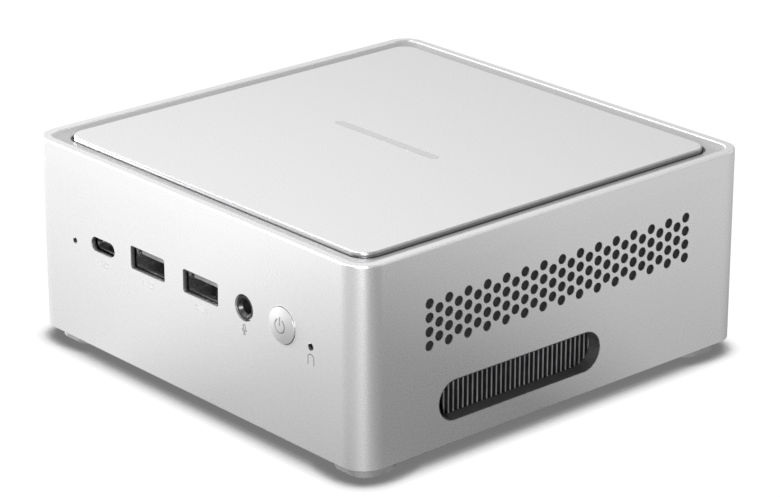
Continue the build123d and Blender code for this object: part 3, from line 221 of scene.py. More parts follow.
def soft_box(name, azimuth, elevation, distance, size, power):
    """A rectangular area light that looks at the object."""
    light = bpy.data.lights.new(name, "AREA")
    light.shape = "RECTANGLE"
    light.size, light.size_y = size
    light.energy = power
    holder = bpy.data.objects.new(name, light)
    way = direction(math.radians(azimuth), math.radians(elevation))
    holder.location = Vector((0, 0, LIGHT_AIM)) + way * distance
    holder.rotation_euler = way.to_track_quat("Z", "Y").to_euler()
    bpy.context.scene.collection.objects.link(holder)


soft_box("left_low_box", -75, 10, 0.9, (0.30, 0.20), 21.3)
soft_box("corner_strip", 45, 8, 0.9, (0.06, 0.12), 10.0)
soft_box("front_top_box", 0, 62, 0.24, (0.30, 0.10), 0.66)


def make_world():
    """Soft round glows on a dim sky: azimuth, elevation, strength and tightness of each."""
    world = bpy.data.worlds.new("studio")
    bpy.context.scene.world = world
    world.use_nodes = True
    tree = world.node_tree
    tree.nodes.clear()
    sky = tree.nodes.new("ShaderNodeTexCoord").outputs["Generated"]
    total = DIM_SKY
    for azimuth, elevation, strength, tightness in GLOWS:
        middle = direction(math.radians(azimuth), math.radians(elevation))
        near = vector_step(tree, "DOT_PRODUCT", sky, middle).outputs["Value"]
        facing = combine(tree, "MAXIMUM", near, 0.0)
        patch = combine(tree, "MULTIPLY", combine(tree, "POWER", facing, tightness), strength)
        total = combine(tree, "ADD", patch, total)
    background = add(tree, "ShaderNodeBackground", Strength=total)
    output = tree.nodes.new("ShaderNodeOutputWorld")
    tree.links.new(background.outputs[0], output.inputs[0])


make_world()
print("lights:", len(bpy.data.lights), "glows:", len(GLOWS))

# %% [markdown]
# ## Helpers for finishes
# A finish is more than a colour. Each one gets its own grain at its real size, read from Object
# coordinates, which are metres here, so a noise scale of 4000 gives marks about a quarter of a
# millimetre wide. The helpers below keep each material's own cell short.

# %% Finish helpers
def noise(tree, scale, detail=2.0, vector=None):
    """Noise over Object coordinates; the output is its value."""
    vector = vector or object_coordinates(tree)
    node = add(tree, "ShaderNodeTexNoise", Scale=scale, Detail=detail, Vector=vector)
    return node.outputs["Fac"]


def stretch(tree, x, y, z):
    """Object coordinates scaled by axis, for grain that runs one way."""
    node = add(tree, "ShaderNodeMapping", Vector=object_coordinates(tree), Scale=(x, y, z))
    return node.outputs["Vector"]


def two_tones(tree, value, dark, light, start=0.3, end=0.7):
    """A colour that runs from dark to light with the value."""
    ramp = tree.nodes.new("ShaderNodeValToRGB")
    ramp.color_ramp.elements[0].position = start
    ramp.color_ramp.elements[0].color = (*dark, 1)
    ramp.color_ramp.elements[1].position = end
    ramp.color_ramp.elements[1].color = (*light, 1)
    tree.links.new(value, ramp.inputs[0])
    return ramp.outputs[0]


def bump(tree, shader, height, distance, strength=1.0):
    """Relief: the height, from 0 to 1, stands this far above the surface, in metres."""
    node = add(tree, "ShaderNodeBump", Height=height, Distance=distance, Strength=strength)
    tree.links.new(node.outputs[0], shader.inputs["Normal"])


finishes = {}
print("helpers ready")

# %% [markdown]
# ## Satin silver
# The case is a metal skin with a very fine bead-blasted satin coat. Pure metal would mirror the studio, and
# pure paint would look like plastic, so the shader is mostly metal with a broad, soft highlight. A grain
# of about a tenth of a millimetre breaks the highlight up, and a very slow drift in tone keeps large faces
# from looking computed. The groove round the lid is in its own shade. We could leave that to the lights,
# but a groove this shallow catches too much of them, so the rim's and the lid's own finishes turn darker
# there, by their depth inside a rounded outline.

# %% Satin silver finish
SILVER = (0.84, 0.84, 0.845)
BUTTON_SILVER = (0.74, 0.74, 0.745)
SHADED_SILVER = (0.20, 0.20, 0.205)
BLACK = (0.0, 0.0, 0.0)
DRIFT = 0.985
CASE_ROUGHNESS = 0.28
CASE_GRAIN = 0.012 * MM
FINE_GRAIN = 0.008 * MM
RIM_OUTLINE = (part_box("case_rim")[1], 6.5 * MM)
LID_CORNER = 4.5 * MM
LID_OUTLINE = (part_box("lid")[1], LID_CORNER)
DISH_SHADE = ((RIM_OUTLINE, 2.3, 2.7, 1.0, 0.60), (LID_OUTLINE, -1.1, -0.5, 1.0, 0.30))
LID_SHADE = ((LID_OUTLINE, 0.25, 0.60, 0.52, 1.0),)


def outline_depth(tree, corner_of_box, radius):
    """How far a spot lies inside an upright rounded outline."""
    folded = vector_step(tree, "ABSOLUTE", object_coordinates(tree)).outputs[0]
    straight = (corner_of_box[0] - radius, corner_of_box[1] - radius, 1.0)
    past = vector_step(tree, "SUBTRACT", folded, straight).outputs[0]
    length = vector_step(tree, "LENGTH", vector_step(tree, "MAXIMUM", past).outputs[0]).outputs["Value"]
    split = add(tree, "ShaderNodeSeparateXYZ", Vector=past)
    inner = combine(tree, "MINIMUM", combine(tree, "MAXIMUM", split.outputs[0], split.outputs[1]), 0.0)
    return combine(tree, "SUBTRACT", radius, combine(tree, "ADD", length, inner))


def shade(tree, steps):
    """Product of soft steps: an outline, from and to which depth, and the light before and after."""
    light = None
    for outline, start, end, before, after in steps:
        step = between(tree, outline_depth(tree, *outline), before, after, start * MM, end * MM)
        light = combine(tree, "MULTIPLY", light, step) if light else step
    return light


def satin_silver(name, tint, roughness, grain, steps=()):
    """Blasted metal, whose tone may change in steps with the depth inside an outline."""
    material, tree, shader = node_material(name)
    fine = noise(tree, 9000.0, 3.0)
    slow = noise(tree, 40.0, 2.0)
    if steps:
        light = combine(tree, "MULTIPLY", shade(tree, steps), between(tree, slow, DRIFT, 1.0))
        colour = two_tones(tree, light, BLACK, tint)
    else:
        colour = two_tones(tree, slow, [value * DRIFT for value in tint], tint)
    tree.links.new(colour, shader.inputs["Base Color"])
    shader.inputs["Metallic"].default_value = 0.76
    tree.links.new(between(tree, fine, roughness - 0.03, roughness + 0.03), shader.inputs["Roughness"])
    bump(tree, shader, fine, grain, 0.35)
    return material


finishes["case"] = satin_silver("satin_silver", SILVER, CASE_ROUGHNESS, CASE_GRAIN)
finishes["button"] = satin_silver("button_silver", BUTTON_SILVER, 0.33, FINE_GRAIN)
finishes["rim"] = satin_silver("rim_silver", SILVER, CASE_ROUGHNESS, CASE_GRAIN, DISH_SHADE)
finishes["lid"] = satin_silver("lid_silver", SILVER, CASE_ROUGHNESS, CASE_GRAIN, LID_SHADE)
finishes["shaded_edge"] = satin_silver("shaded_edge", SHADED_SILVER, 0.36, FINE_GRAIN)
print("silver finishes:", finishes["case"].name, finishes["button"].name)

# %% [markdown]
# ## Dark mouldings
# The liner, the fans and the sockets are moulded plastic, and a chip's resin, a ferrite coil and a small
# ceramic part look much the same close up. Spark-eroded tools leave a fine pebbled texture on them, which
# catches small glints. Voronoi cells give pebbles, and noise makes them uneven. One table holds all the
# tones, with the roughness, and the size and height of the pebbles in millimetres.

# %% Moulded plastics
def moulded(name, dark, light, roughness, pebble, depth):
    """Moulded plastic with pebbles of the given size, in metres."""
    material, tree, shader = node_material(name)
    cells = add(tree, "ShaderNodeTexVoronoi", Vector=object_coordinates(tree), Scale=1.0 / pebble)
    uneven = noise(tree, 0.4 / pebble, 3.0)
    relief = combine(tree, "MULTIPLY", cells.outputs["Distance"], uneven)
    tree.links.new(two_tones(tree, uneven, dark, light), shader.inputs["Base Color"])
    tree.links.new(between(tree, uneven, roughness - 0.06, roughness + 0.06), shader.inputs["Roughness"])
    bump(tree, shader, relief, depth, 0.6)
    return material


for key, name, dark, light, roughness, pebble, depth in (
        ("liner", "black_moulding", (0.022, 0.022, 0.023), (0.035, 0.035, 0.036), 0.55, 0.25, 0.03),
        ("fan_plastic", "fan_moulding", (0.018, 0.018, 0.02), (0.028, 0.028, 0.03), 0.42, 0.4, 0.01),
        ("dark_plastic", "socket_moulding", (0.03, 0.03, 0.031), (0.05, 0.05, 0.052), 0.45, 0.3, 0.01),
        ("button_stem", "white_moulding", (0.68, 0.68, 0.66), (0.74, 0.74, 0.72), 0.45, 0.3, 0.01),
        ("lead", "lead_jacket", (0.02, 0.02, 0.02), (0.035, 0.035, 0.035), 0.4, 0.5, 0.01),
        ("coil", "pressed_ferrite", (0.09, 0.09, 0.095), (0.16, 0.16, 0.165), 0.6, 0.2, 0.03),
        # The tone below is the jack's own black; on the small holes' sleeves and edges and in the button's
        # gap it is painted shade.
        ("jack_black", "jack_moulding", (0.008, 0.008, 0.008), (0.014, 0.014, 0.014), 0.38, 0.4, 0.005),
        ("tongue_grey", "tongue_moulding", (0.20, 0.20, 0.205), (0.27, 0.27, 0.275), 0.45, 0.3, 0.005),
        # The tone below is painted shade: it lines the vents and the sockets' silver walls.
        ("sleeve_grey", "sleeve_moulding", (0.040, 0.040, 0.042), (0.062, 0.062, 0.064), 0.42, 0.3, 0.005),
        ("ceramic", "ceramic", (0.20, 0.13, 0.08), (0.32, 0.23, 0.15), 0.42, 0.3, 0.004),
        ("chip", "chip_resin", (0.02, 0.02, 0.022), (0.04, 0.04, 0.042), 0.5, 0.12, 0.01)):
    finishes[key] = moulded(name, dark, light, roughness, pebble * MM, depth * MM)
print("moulded finishes:", len(finishes))

# %% [markdown]
# ## Rubber
# The feet are soft grey rubber: no sharp highlight, a slight bloom where the light grazes, and a faint
# mottle. The shader's sheen gives the bloom.

# %% Rubber finishes
def rubber(name, dark, light):
    """Matt rubber with a faint bloom."""
    material, tree, shader = node_material(name)
    mottle = noise(tree, 600.0, 4.0)
    tree.links.new(two_tones(tree, mottle, dark, light), shader.inputs["Base Color"])
    tree.links.new(between(tree, mottle, 0.6, 0.75), shader.inputs["Roughness"])
    shader.inputs["Sheen Weight"].default_value = 0.15
    shader.inputs["Sheen Roughness"].default_value = 0.6
    bump(tree, shader, noise(tree, 5000.0, 2.0), 0.00002, 0.5)
    return material


finishes["foot"] = rubber("grey_rubber", (0.15, 0.15, 0.15), (0.20, 0.20, 0.198))
finishes["boot"] = rubber("black_rubber", (0.02, 0.02, 0.02), (0.035, 0.035, 0.035))
print("rubber finishes ready")

# %% [markdown]
# ## Bare and plated metals
# Drawn tin, blackened screws, brass, gold plate, copper and the fin sheet are all one recipe: a metal whose
# roughness and colour wander a little, with long fine lines left by the rolling or the tool. The fin sheet is
# one metal in two tones, dark as painted shade on its sides and bright as a painted highlight on its edges.
# The Mapping node squeezes the noise along one axis to make lines of it.

# %% Metals
def metal(name, dark, light, roughness, grain=(1.0, 1.0, 1.0), depth=0.004 * MM):
    """Metal with lines along the axis whose grain is below one."""
    material, tree, shader = node_material(name)
    lines = noise(tree, 3000.0, 3.0, stretch(tree, *grain))
    patches = noise(tree, 220.0, 3.0)
    tree.links.new(two_tones(tree, patches, dark, light), shader.inputs["Base Color"])
    shader.inputs["Metallic"].default_value = 1.0
    tree.links.new(between(tree, lines, roughness - 0.07, roughness + 0.07), shader.inputs["Roughness"])
    bump(tree, shader, lines, depth, 0.5)
    return material


FIN_GRAIN = (1.0, 1.0, 0.12)
finishes["steel"] = metal("bright_tin", (0.60, 0.60, 0.61), (0.72, 0.72, 0.73), 0.30, (0.15, 1.0, 1.0))
finishes["screw"] = metal("black_oxide", (0.05, 0.05, 0.052), (0.10, 0.10, 0.105), 0.42)
finishes["badge"] = metal("polished_bar", (0.97, 0.97, 0.97), (0.99, 0.99, 0.99), 0.14, (0.1, 1.0, 1.0),
                          0.002 * MM)
finishes["brass"] = metal("turned_brass", (0.62, 0.45, 0.18), (0.76, 0.58, 0.27), 0.32, (1.0, 1.0, 0.1))
finishes["gold"] = metal("gold_plate", (0.80, 0.58, 0.24), (0.90, 0.70, 0.34), 0.24)
finishes["copper"] = metal("plain_copper", (0.58, 0.27, 0.15), (0.74, 0.40, 0.25), 0.34, (0.12, 1.0, 1.0))
# The fins below and their edges are one metal in two tones: painted shade on the sheet, a painted highlight
# on the edges.
finishes["fins"] = metal("fin_sheet", (0.10, 0.10, 0.105), (0.16, 0.16, 0.165), 0.42, FIN_GRAIN)
finishes["bright_edge"] = metal("bright_edge", (0.80, 0.80, 0.81), (0.90, 0.90, 0.91), 0.50, FIN_GRAIN)
finishes["tinned"] = metal("tinned_end", (0.66, 0.66, 0.66), (0.78, 0.78, 0.78), 0.30, (1.0, 1.0, 0.3),
                           0.003 * MM)
print("metal finishes ready")

# %% [markdown]
# ## Circuit boards
# A board is glass cloth under a coloured lacquer. Copper tracks under the lacquer show as slightly lighter,
# slightly raised lines that run square to the edges. Two brick patterns at different sizes, one turned a
# quarter, make lines like that without drawing a real circuit. A weave finer than half a millimetre shows
# between them.

# %% Board lacquer
def lacquered_board(name, base, track):
    """Lacquer over tracks that run square to the edges."""
    material, tree, shader = node_material(name)
    flat = object_coordinates(tree)
    turned = add(tree, "ShaderNodeMapping", Vector=flat, Rotation=(0, 0, math.pi / 2)).outputs["Vector"]
    layers = []
    for vector, scale, width in ((flat, 170.0, 4.1), (turned, 260.0, 6.3)):
        bricks = add(tree, "ShaderNodeTexBrick", Vector=vector, Scale=scale, Mortar_Size=0.035,
                     Brick_Width=width, Row_Height=0.32, Mortar_Smooth=0.3)
        layers.append(bricks.outputs["Fac"])
    tracks = combine(tree, "MAXIMUM", *layers)
    patches = between(tree, noise(tree, 90.0, 1.0), 0.0, 1.0, 0.44, 0.5)
    tracks = combine(tree, "MULTIPLY", tracks, patches)
    tree.links.new(two_tones(tree, tracks, base, track, 0.1, 0.9), shader.inputs["Base Color"])
    tree.links.new(between(tree, noise(tree, 2500.0, 2.0), 0.24, 0.32), shader.inputs["Roughness"])
    bump(tree, shader, tracks, 0.00002, 0.6)
    return material


finishes["board"] = lacquered_board("dark_board", (0.006, 0.016, 0.012), (0.014, 0.045, 0.030))
finishes["board_blue"] = lacquered_board("blue_board", (0.008, 0.022, 0.055), (0.02, 0.055, 0.12))
print("board finishes ready")

# %% [markdown]
# ## Woven dust filter, film, wrap and ink
# The dust filter is a black woven net whose threads are a little over a quarter of a millimetre apart: two
# wave patterns crossed at right angles. A wave's Scale is pi / 10 over the distance between threads. The
# aerials are amber film, the coin cell wears a tight blue wrap, and the signs are printed in grey inks. A
# picture of a net would do too, but waves stay sharp at any distance.

# %% Net, film and wrap
WAVE_SCALE = 0.314


def woven_net(name, dark, light, pitch):
    """Net whose threads cross at right angles, on upright faces across X."""
    material, tree, shader = node_material(name)
    threads = []
    for axis in ("Y", "Z"):
        wave = tree.nodes.new("ShaderNodeTexWave")
        wave.bands_direction = axis
        wave.inputs["Scale"].default_value = WAVE_SCALE / pitch
        tree.links.new(object_coordinates(tree), wave.inputs["Vector"])
        threads.append(wave.outputs["Fac"])
    weave = combine(tree, "MAXIMUM", *threads)
    tree.links.new(two_tones(tree, weave, dark, light, 0.4, 0.95), shader.inputs["Base Color"])
    shader.inputs["Roughness"].default_value = 0.62
    bump(tree, shader, weave, 0.0001, 0.8)
    return material


def film(name, dark, light, roughness):
    """Smooth film, wrap or ink with a slow drift in tone."""
    material, tree, shader = node_material(name)
    drift = noise(tree, 300.0, 3.0)
    tree.links.new(two_tones(tree, drift, dark, light), shader.inputs["Base Color"])
    tree.links.new(between(tree, drift, roughness, roughness + 0.12), shader.inputs["Roughness"])
    bump(tree, shader, drift, 0.00004, 0.5)
    return material


finishes["mesh"] = woven_net("woven_net", (0.002, 0.002, 0.002), (0.014, 0.014, 0.0145), 0.28 * MM)
finishes["faint_ink"] = film("faint_ink", (0.36, 0.36, 0.37), (0.44, 0.44, 0.45), 0.5)
finishes["dark_ink"] = film("dark_ink", (0.12, 0.12, 0.125), (0.18, 0.18, 0.185), 0.5)
finishes["flex"] = film("amber_film", (0.20, 0.11, 0.03), (0.32, 0.19, 0.06), 0.25)
finishes["cell_wrap"] = film("cell_wrap", (0.02, 0.06, 0.20), (0.04, 0.10, 0.28), 0.3)
print("finishes:", len(finishes))

# %% [markdown]
# ## Dress the CAD pieces
# Every CAD piece already knows its material slot, so one loop can hand each its finish. Three pieces need
# more than their slot says: the jack is blacker than other sockets, and the rim and lid have their own shade.

# %% Hand out the finishes
slot_of = {row["node"]: row["material_slot"] for row in frame["record"]["subparts"]}
slot_of.update(audio_jack="jack_black", case_rim="rim", lid="lid")
for name, node in frame["nodes"].items():
    node.data.materials.clear()
    node.data.materials.append(finishes[slot_of[name]])
print("dressed", len(slot_of), "pieces")

# %% [markdown]
# ## Growing what repeats
# Many small pieces come in rows and grids: linings of holes, fin edges, contacts, parts of a board. Copying
# them by hand in a loop would work, but Geometry Nodes describe the repeat once, with named sizes, and
# instances keep it cheap until the end. Each tree takes a cloud of points, puts one small shape on every
# point, makes the copies real and gives them their finish.

# %% A tree with named inputs
KINDS = {float: "NodeSocketFloat", int: "NodeSocketInt", Vector: "NodeSocketVector",
         str: "NodeSocketMaterial"}


def start_tree(name, **inputs):
    """A geometry tree with these inputs; a str stands for a material."""
    tree = bpy.data.node_groups.new(name, "GeometryNodeTree")
    tree.interface.new_socket("Geometry", in_out="OUTPUT", socket_type="NodeSocketGeometry")
    tree.interface.new_socket("Points", in_out="INPUT", socket_type="NodeSocketGeometry")
    for label, value in inputs.items():
        tree.interface.new_socket(label.replace("_", " "), in_out="INPUT", socket_type=KINDS[type(value)])
    given = tree.nodes.new("NodeGroupInput").outputs
    return tree, given


def end_tree(tree, given, shape, turn=None, scale=None):
    """Puts the shape on every point, makes the copies real and sets their material."""
    spread = add(tree, "GeometryNodeInstanceOnPoints", Points=given["Points"], Instance=shape)
    if turn:
        tree.links.new(turn, spread.inputs["Rotation"])
    if scale:
        tree.links.new(scale, spread.inputs["Scale"])
    real = add(tree, "GeometryNodeRealizeInstances", Geometry=spread.outputs["Instances"])
    dressed = add(tree, "GeometryNodeSetMaterial", Geometry=real.outputs[0], Material=given["Material"])
    out = tree.nodes.new("NodeGroupOutput")
    tree.links.new(dressed.outputs[0], out.inputs[0])


def finish_piece(name, mesh, body):
    """Turns faces outwards, hangs the mesh in the scene and lets it ride on its body."""
    shell = bmesh.new()
    shell.from_mesh(mesh)
    bmesh.ops.recalc_face_normals(shell, faces=shell.faces)
    shell.to_mesh(mesh)
    shell.free()
    piece = bpy.data.objects.new(name, mesh)
    bpy.context.scene.collection.objects.link(piece)
    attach(piece, body)


def grow(name, tree, points, body, slot, finish, **inputs):
    """Runs a tree over the points and keeps the result as a plain mesh."""
    cloud = bpy.data.meshes.new(name + "_points")
    cloud.from_pydata([tuple(point) for point in points], [], [])
    seed = bpy.data.objects.new(name + "_points", cloud)
    bpy.context.scene.collection.objects.link(seed)
    modifier = seed.modifiers.new("grow", "NODES")
    modifier.node_group = tree
    inputs["Material"] = finishes[finish]
    for socket in tree.interface.items_tree:
        key = socket.name.replace(" ", "_")
        if socket.in_out == "INPUT" and key in inputs:
            modifier[socket.identifier] = inputs[key]
    evaluated = seed.evaluated_get(bpy.context.evaluated_depsgraph_get())
    mesh = bpy.data.meshes.new_from_object(evaluated)
    mesh.name = name
    bpy.data.objects.remove(seed)
    finish_piece(name, mesh, body)
    print(name, len(mesh.polygons), "faces on", body)


print("growing helpers ready")

# %% [markdown]
# ## A tree for linings
# Every opening in the silver skin is lined in a dark colour, painted shade that keeps its lit edge from
# flashing. One rounded ring covers them all: a rectangle curve with filleted corners, swept with a small
# rectangle. When the corner radius is half the width, the ring is round. A tree for each shape would also do,
# but one is easier to keep right.

# %% Lining tree
def make_lining_tree():
    """A rounded ring on every point."""
    tree, given = start_tree("linings", Width=0.0, Height=0.0, Corner=0.0, Corner_Steps=0, Wall=0.0,
                             Depth=0.0, Turn=Vector(), Material="")
    path = add(tree, "GeometryNodeCurvePrimitiveQuadrilateral", Width=given["Width"], Height=given["Height"])
    rounded = add(tree, "GeometryNodeFilletCurve", Curve=path.outputs[0], Radius=given["Corner"])
    rounded.mode = "POLY"
    tree.links.new(given["Corner Steps"], rounded.inputs["Count"])
    section = add(tree, "GeometryNodeCurvePrimitiveQuadrilateral", Width=given["Wall"], Height=given["Depth"])
    ring = add(tree, "GeometryNodeCurveToMesh", Curve=rounded.outputs[0])
    tree.links.new(section.outputs[0], ring.inputs["Profile Curve"])
    turned = add(tree, "GeometryNodeTransform", Geometry=ring.outputs[0], Rotation=given["Turn"])
    end_tree(tree, given, turned.outputs[0])
    return tree


lining_tree = make_lining_tree()
print("lining tree:", len(lining_tree.nodes), "nodes")

# %% [markdown]
# ## Linings of the vents
# The round vents stand in columns of four and three by turns, a triangular grid, on both sides of the case,
# and in columns of two and one at the rear. Their holes go through the thin skin to a dark net. A dark sleeve
# in each hole paints shade on the skin's edge, which would otherwise show lit. Each is a ring of few sides,
# because there are more than two hundred.

# %% Vent sleeves
VENT_PITCH = 3.52 * MM
VENT_RADIUS = 1.3 * MM
VENT_SKIN = 0.4 * MM
SLEEVE_WALL = 0.07 * MM
HAIR = 0.02 * MM
ROUND_STEPS = 3
SIDE_VENT_Z = 35.7 * MM
REAR_VENT_X = 22.5 * MM
REAR_VENT_Z = 43.0 * MM
FACE_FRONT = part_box("case_front_wall")[0][1]
FACE_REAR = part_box("case_rear_wall")[1][1]
FACE_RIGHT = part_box("case_right_wall")[1][0]
SIDEWAYS = Vector((0, math.pi / 2, 0))
UPRIGHT = Vector((math.pi / 2, 0, 0))


def vent_grid(columns, tall):
    """Places of the holes round the middle of a grid, across and up."""
    step = VENT_PITCH * math.sqrt(3) / 2
    places = []
    for column in range(columns):
        count = tall - column % 2
        across = (column - (columns - 1) / 2) * step
        places += [(across, (row - (count - 1) / 2) * VENT_PITCH) for row in range(count)]
    return places


def round_ring(radius, wall, depth, turn):
    """Sizes of a lining whose outside is a circle of this radius."""
    middle = 2 * radius - wall
    return {"Width": middle, "Height": middle, "Corner": middle / 2 - HAIR / 20, "Corner_Steps": ROUND_STEPS,
            "Wall": wall, "Depth": depth, "Turn": turn}


side_grid = vent_grid(29, 4)
rear_grid = vent_grid(17, 2)
inset = HAIR + VENT_SKIN / 2
side_x = FACE_RIGHT - inset
side_vents = [(x, across, SIDE_VENT_Z + up) for x in (-side_x, side_x) for across, up in side_grid]
rear_vents = [(REAR_VENT_X + across, FACE_REAR - inset, REAR_VENT_Z + up) for across, up in rear_grid]
side_sleeve = round_ring(VENT_RADIUS, SLEEVE_WALL, VENT_SKIN, SIDEWAYS)
rear_sleeve = round_ring(VENT_RADIUS, SLEEVE_WALL, VENT_SKIN, UPRIGHT)
grow("side_vent_sleeves", lining_tree, side_vents, "chassis", "liner", "sleeve_grey", **side_sleeve)
grow("rear_vent_sleeves", lining_tree, rear_vents, "chassis", "liner", "sleeve_grey", **rear_sleeve)
print("vent holes:", len(side_vents) + len(rear_vents))

# %% [markdown]
# ## Linings of the sockets and small holes
# The sockets sit a little behind the skin. What shows of the skin's silver thickness is lined in dark grey,
# painted shade for the wall in the socket's mouth, and the two pinholes have black sleeves, painted shade in
# the holes. The cans' own boxes say where they are, so we find each separate can in the CAD mesh first.

# %% Separate solids of a node
def solids_of(node_name):
    """Lowest and highest corner of each separate solid in a node, from left to right."""
    shape = bmesh.new()
    shape.from_mesh(frame["nodes"][node_name].data)
    bmesh.ops.remove_doubles(shape, verts=shape.verts, dist=HAIR / 10)
    left = set(shape.verts)
    boxes = []
    while left:
        stack = [left.pop()]
        found = []
        while stack:
            vertex = stack.pop()
            found.append(vertex.co)
            for edge in vertex.link_edges:
                other = edge.other_vert(vertex)
                if other in left:
                    left.remove(other)
                    stack.append(other)
        lows = [min(point[axis] for point in found) for axis in range(3)]
        highs = [max(point[axis] for point in found) for axis in range(3)]
        boxes.append((Vector(lows), Vector(highs)))
    shape.free()
    return sorted(boxes, key=lambda box: tuple(round(value, 5) for value in box[0]))


front_cans = solids_of("front_socket_shells")
oval_can, *flat_cans = front_cans
print("front cans:", len(front_cans))

# %% [markdown]
# ## Line the front's openings
# Each lining is as deep as the skin. Those of the sockets and small holes sit a hair behind the front face,
# so that no two faces share a plane. The two small holes also get a thin black edge on the face, painted
# shade that makes them read as holes from far off. The gap round the button gets a black wall that starts
# half a hair in front of the face, painted shade in the gap.

# %% Socket linings
SKIN = 1.2 * MM
LINING_WALL = 0.10 * MM
FLAT_OPENING = (13.6 * MM, 6.1 * MM, 0.65 * MM, 4)
OVAL_OPENING = (9.7 * MM, 3.9 * MM, 1.89 * MM, 8)
MIC_HOLE = (45.9 * MM, 30.5 * MM, 0.80 * MM)
PINHOLE = (-46.2 * MM, 30.5 * MM, 0.68 * MM)
HOLE_WALL = 0.09 * MM
EDGE_GROWTH = 0.14 * MM
EDGE_WIDTH = 0.2 * MM
BUTTON_X = 35.6 * MM
BUTTON_Z = 32.7 * MM
BUTTON_HOLE = 4.74 * MM
FULL_STEPS = 12


def line_socket(name, box, width, height, corner, steps):
    """A lining in the front skin round one can."""
    middle = (box[0] + box[1]) / 2
    place = Vector((middle.x, FACE_FRONT + SKIN / 2 + HAIR, middle.z))
    grow(name, lining_tree, [place], "chassis", "liner", "sleeve_grey", Width=width - LINING_WALL,
         Height=height - LINING_WALL, Corner=corner, Corner_Steps=steps, Wall=LINING_WALL, Depth=SKIN,
         Turn=UPRIGHT)


for number, can in enumerate(flat_cans, 1):
    line_socket(f"flat_socket_lining_{number}", can, *FLAT_OPENING)
line_socket("oval_socket_lining", oval_can, *OVAL_OPENING)

for name, (x, z, radius) in (("mic_hole_sleeve", MIC_HOLE), ("pinhole_sleeve", PINHOLE)):
    ring = round_ring(radius, HOLE_WALL, SKIN, UPRIGHT)
    place = Vector((x, FACE_FRONT + SKIN / 2 + HAIR, z))
    grow(name, lining_tree, [place], "chassis", "liner", "jack_black", **ring)
    edge = round_ring(radius + EDGE_GROWTH, EDGE_WIDTH, 2 * HAIR, UPRIGHT)
    place = Vector((x, FACE_FRONT, z))
    grow(name + "_edge", lining_tree, [place], "chassis", "liner", "jack_black", **edge)

button_gap = round_ring(BUTTON_HOLE, HOLE_WALL, SKIN, UPRIGHT)
button_gap["Corner_Steps"] = FULL_STEPS
button_place = Vector((BUTTON_X, FACE_FRONT + SKIN / 2 - HAIR / 2, BUTTON_Z))
grow("button_gap_lining", lining_tree, [button_place], "chassis", "liner", "jack_black", **button_gap)

# %% [markdown]
# ## The lid's shaded side
# The lid is a plate with a pressed edge. Its side is in the shade of the groove round it and reads as a
# dark line that frames the lid. Darker paint on the side would need its own faces. A narrow band of a darker
# satin, a hair proud of the side, gives the line at any angle, and it rides on the lid.

# %% Lid band
LID_ROUND = 0.45 * MM
LID_BAND_DEPTH = 2.2 * MM
lid_low, lid_high = (Vector(corner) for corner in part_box("lid"))
band_place = Vector((0, 0, lid_high.z - LID_ROUND - LID_BAND_DEPTH / 2))
grow("lid_side_band", lining_tree, [band_place], "lid", "case", "shaded_edge", Width=lid_high.x - lid_low.x,
     Height=lid_high.y - lid_low.y, Corner=LID_CORNER, Corner_Steps=FULL_STEPS, Wall=2 * HAIR,
     Depth=LID_BAND_DEPTH, Turn=Vector())

# %% [markdown]
# ## A tree for rows of small blocks
# Contacts, fin edges and the small parts of the board are blocks in rows. An Array modifier could lay one
# row, but not one on each of many points. The tree lays a line of blocks centred on each point. It can turn
# a row by a quarter and vary its size at random, with a seed, so that two runs with one seed agree.

# %% Row tree
def make_row_tree():
    """A row of blocks on every point."""
    tree, given = start_tree("rows", Size=Vector(), Count=0, Step=Vector(), Turning=0.0, Variation=0.0,
                             Seed=0, Material="")
    gaps = combine(tree, "SUBTRACT", given["Count"], 1.0)
    back = combine(tree, "MULTIPLY", gaps, -0.5)
    start = vector_step(tree, "SCALE", given["Step"])
    tree.links.new(back, start.inputs["Scale"])
    line = add(tree, "GeometryNodeMeshLine", Count=given["Count"], Start_Location=start.outputs[0],
               Offset=given["Step"])
    block = add(tree, "GeometryNodeMeshCube", Size=given["Size"])
    row = add(tree, "GeometryNodeInstanceOnPoints", Points=line.outputs[0], Instance=block.outputs[0])
    solid = add(tree, "GeometryNodeRealizeInstances", Geometry=row.outputs[0])
    chance = add(tree, "FunctionNodeRandomValue", Seed=given["Seed"])
    turned = combine(tree, "GREATER_THAN", chance.outputs[1], 0.5)
    quarter = combine(tree, "MULTIPLY", turned, math.pi / 2)
    angle = combine(tree, "MULTIPLY", quarter, given["Turning"])
    turn = add(tree, "ShaderNodeCombineXYZ", Z=angle)
    low = combine(tree, "SUBTRACT", 1.0, given["Variation"])
    high = combine(tree, "ADD", 1.0, given["Variation"])
    size = add(tree, "FunctionNodeRandomValue", Seed=given["Seed"])
    tree.links.new(low, size.inputs[2])
    tree.links.new(high, size.inputs[3])
    end_tree(tree, given, solid.outputs[0], turn.outputs[0], size.outputs[1])
    return tree


row_tree = make_row_tree()
print("row tree:", len(row_tree.nodes), "nodes")

# %% [markdown]
# ## Edges of the cooler's fins
# Through the long slot one sees the fins edge on. Each has a rolled front edge that catches the light while
# its flat sides stay dark. That light and shade are painted: the fins are one metal in a dark tone, and the
# edges are pieces of their own in a bright tone of it, a painted highlight. They are one row of thin upright
# blocks, as far apart as the fins.

# %% Fin edges
FIN_PITCH = 1.55 * MM
FIN_COUNT = 35
fin_low, fin_high = (Vector(corner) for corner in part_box("fin_stack"))
edge_size = Vector((0.30, 0.18, 0)) * MM
edge_size.z = fin_high.z - fin_low.z - 4 * HAIR
edge_place = (fin_low + fin_high) / 2
edge_place.x = fin_high.x + edge_size.x / 2 - HAIR
grow("fin_edges", row_tree, [edge_place], "chassis", "fins", "bright_edge", Size=edge_size, Count=FIN_COUNT,
     Step=Vector((0, FIN_PITCH, 0)), Seed=1)

# %% [markdown]
# ## Inside the flat sockets
# A flat socket has a grey tongue high in its mouth and four sprung contacts under it. The tongue gets a
# lighter face. A contact could be a bent strip, but so deep in the mouth two blocks are enough: a strip, and
# a lower knee in front, where the plug would touch.

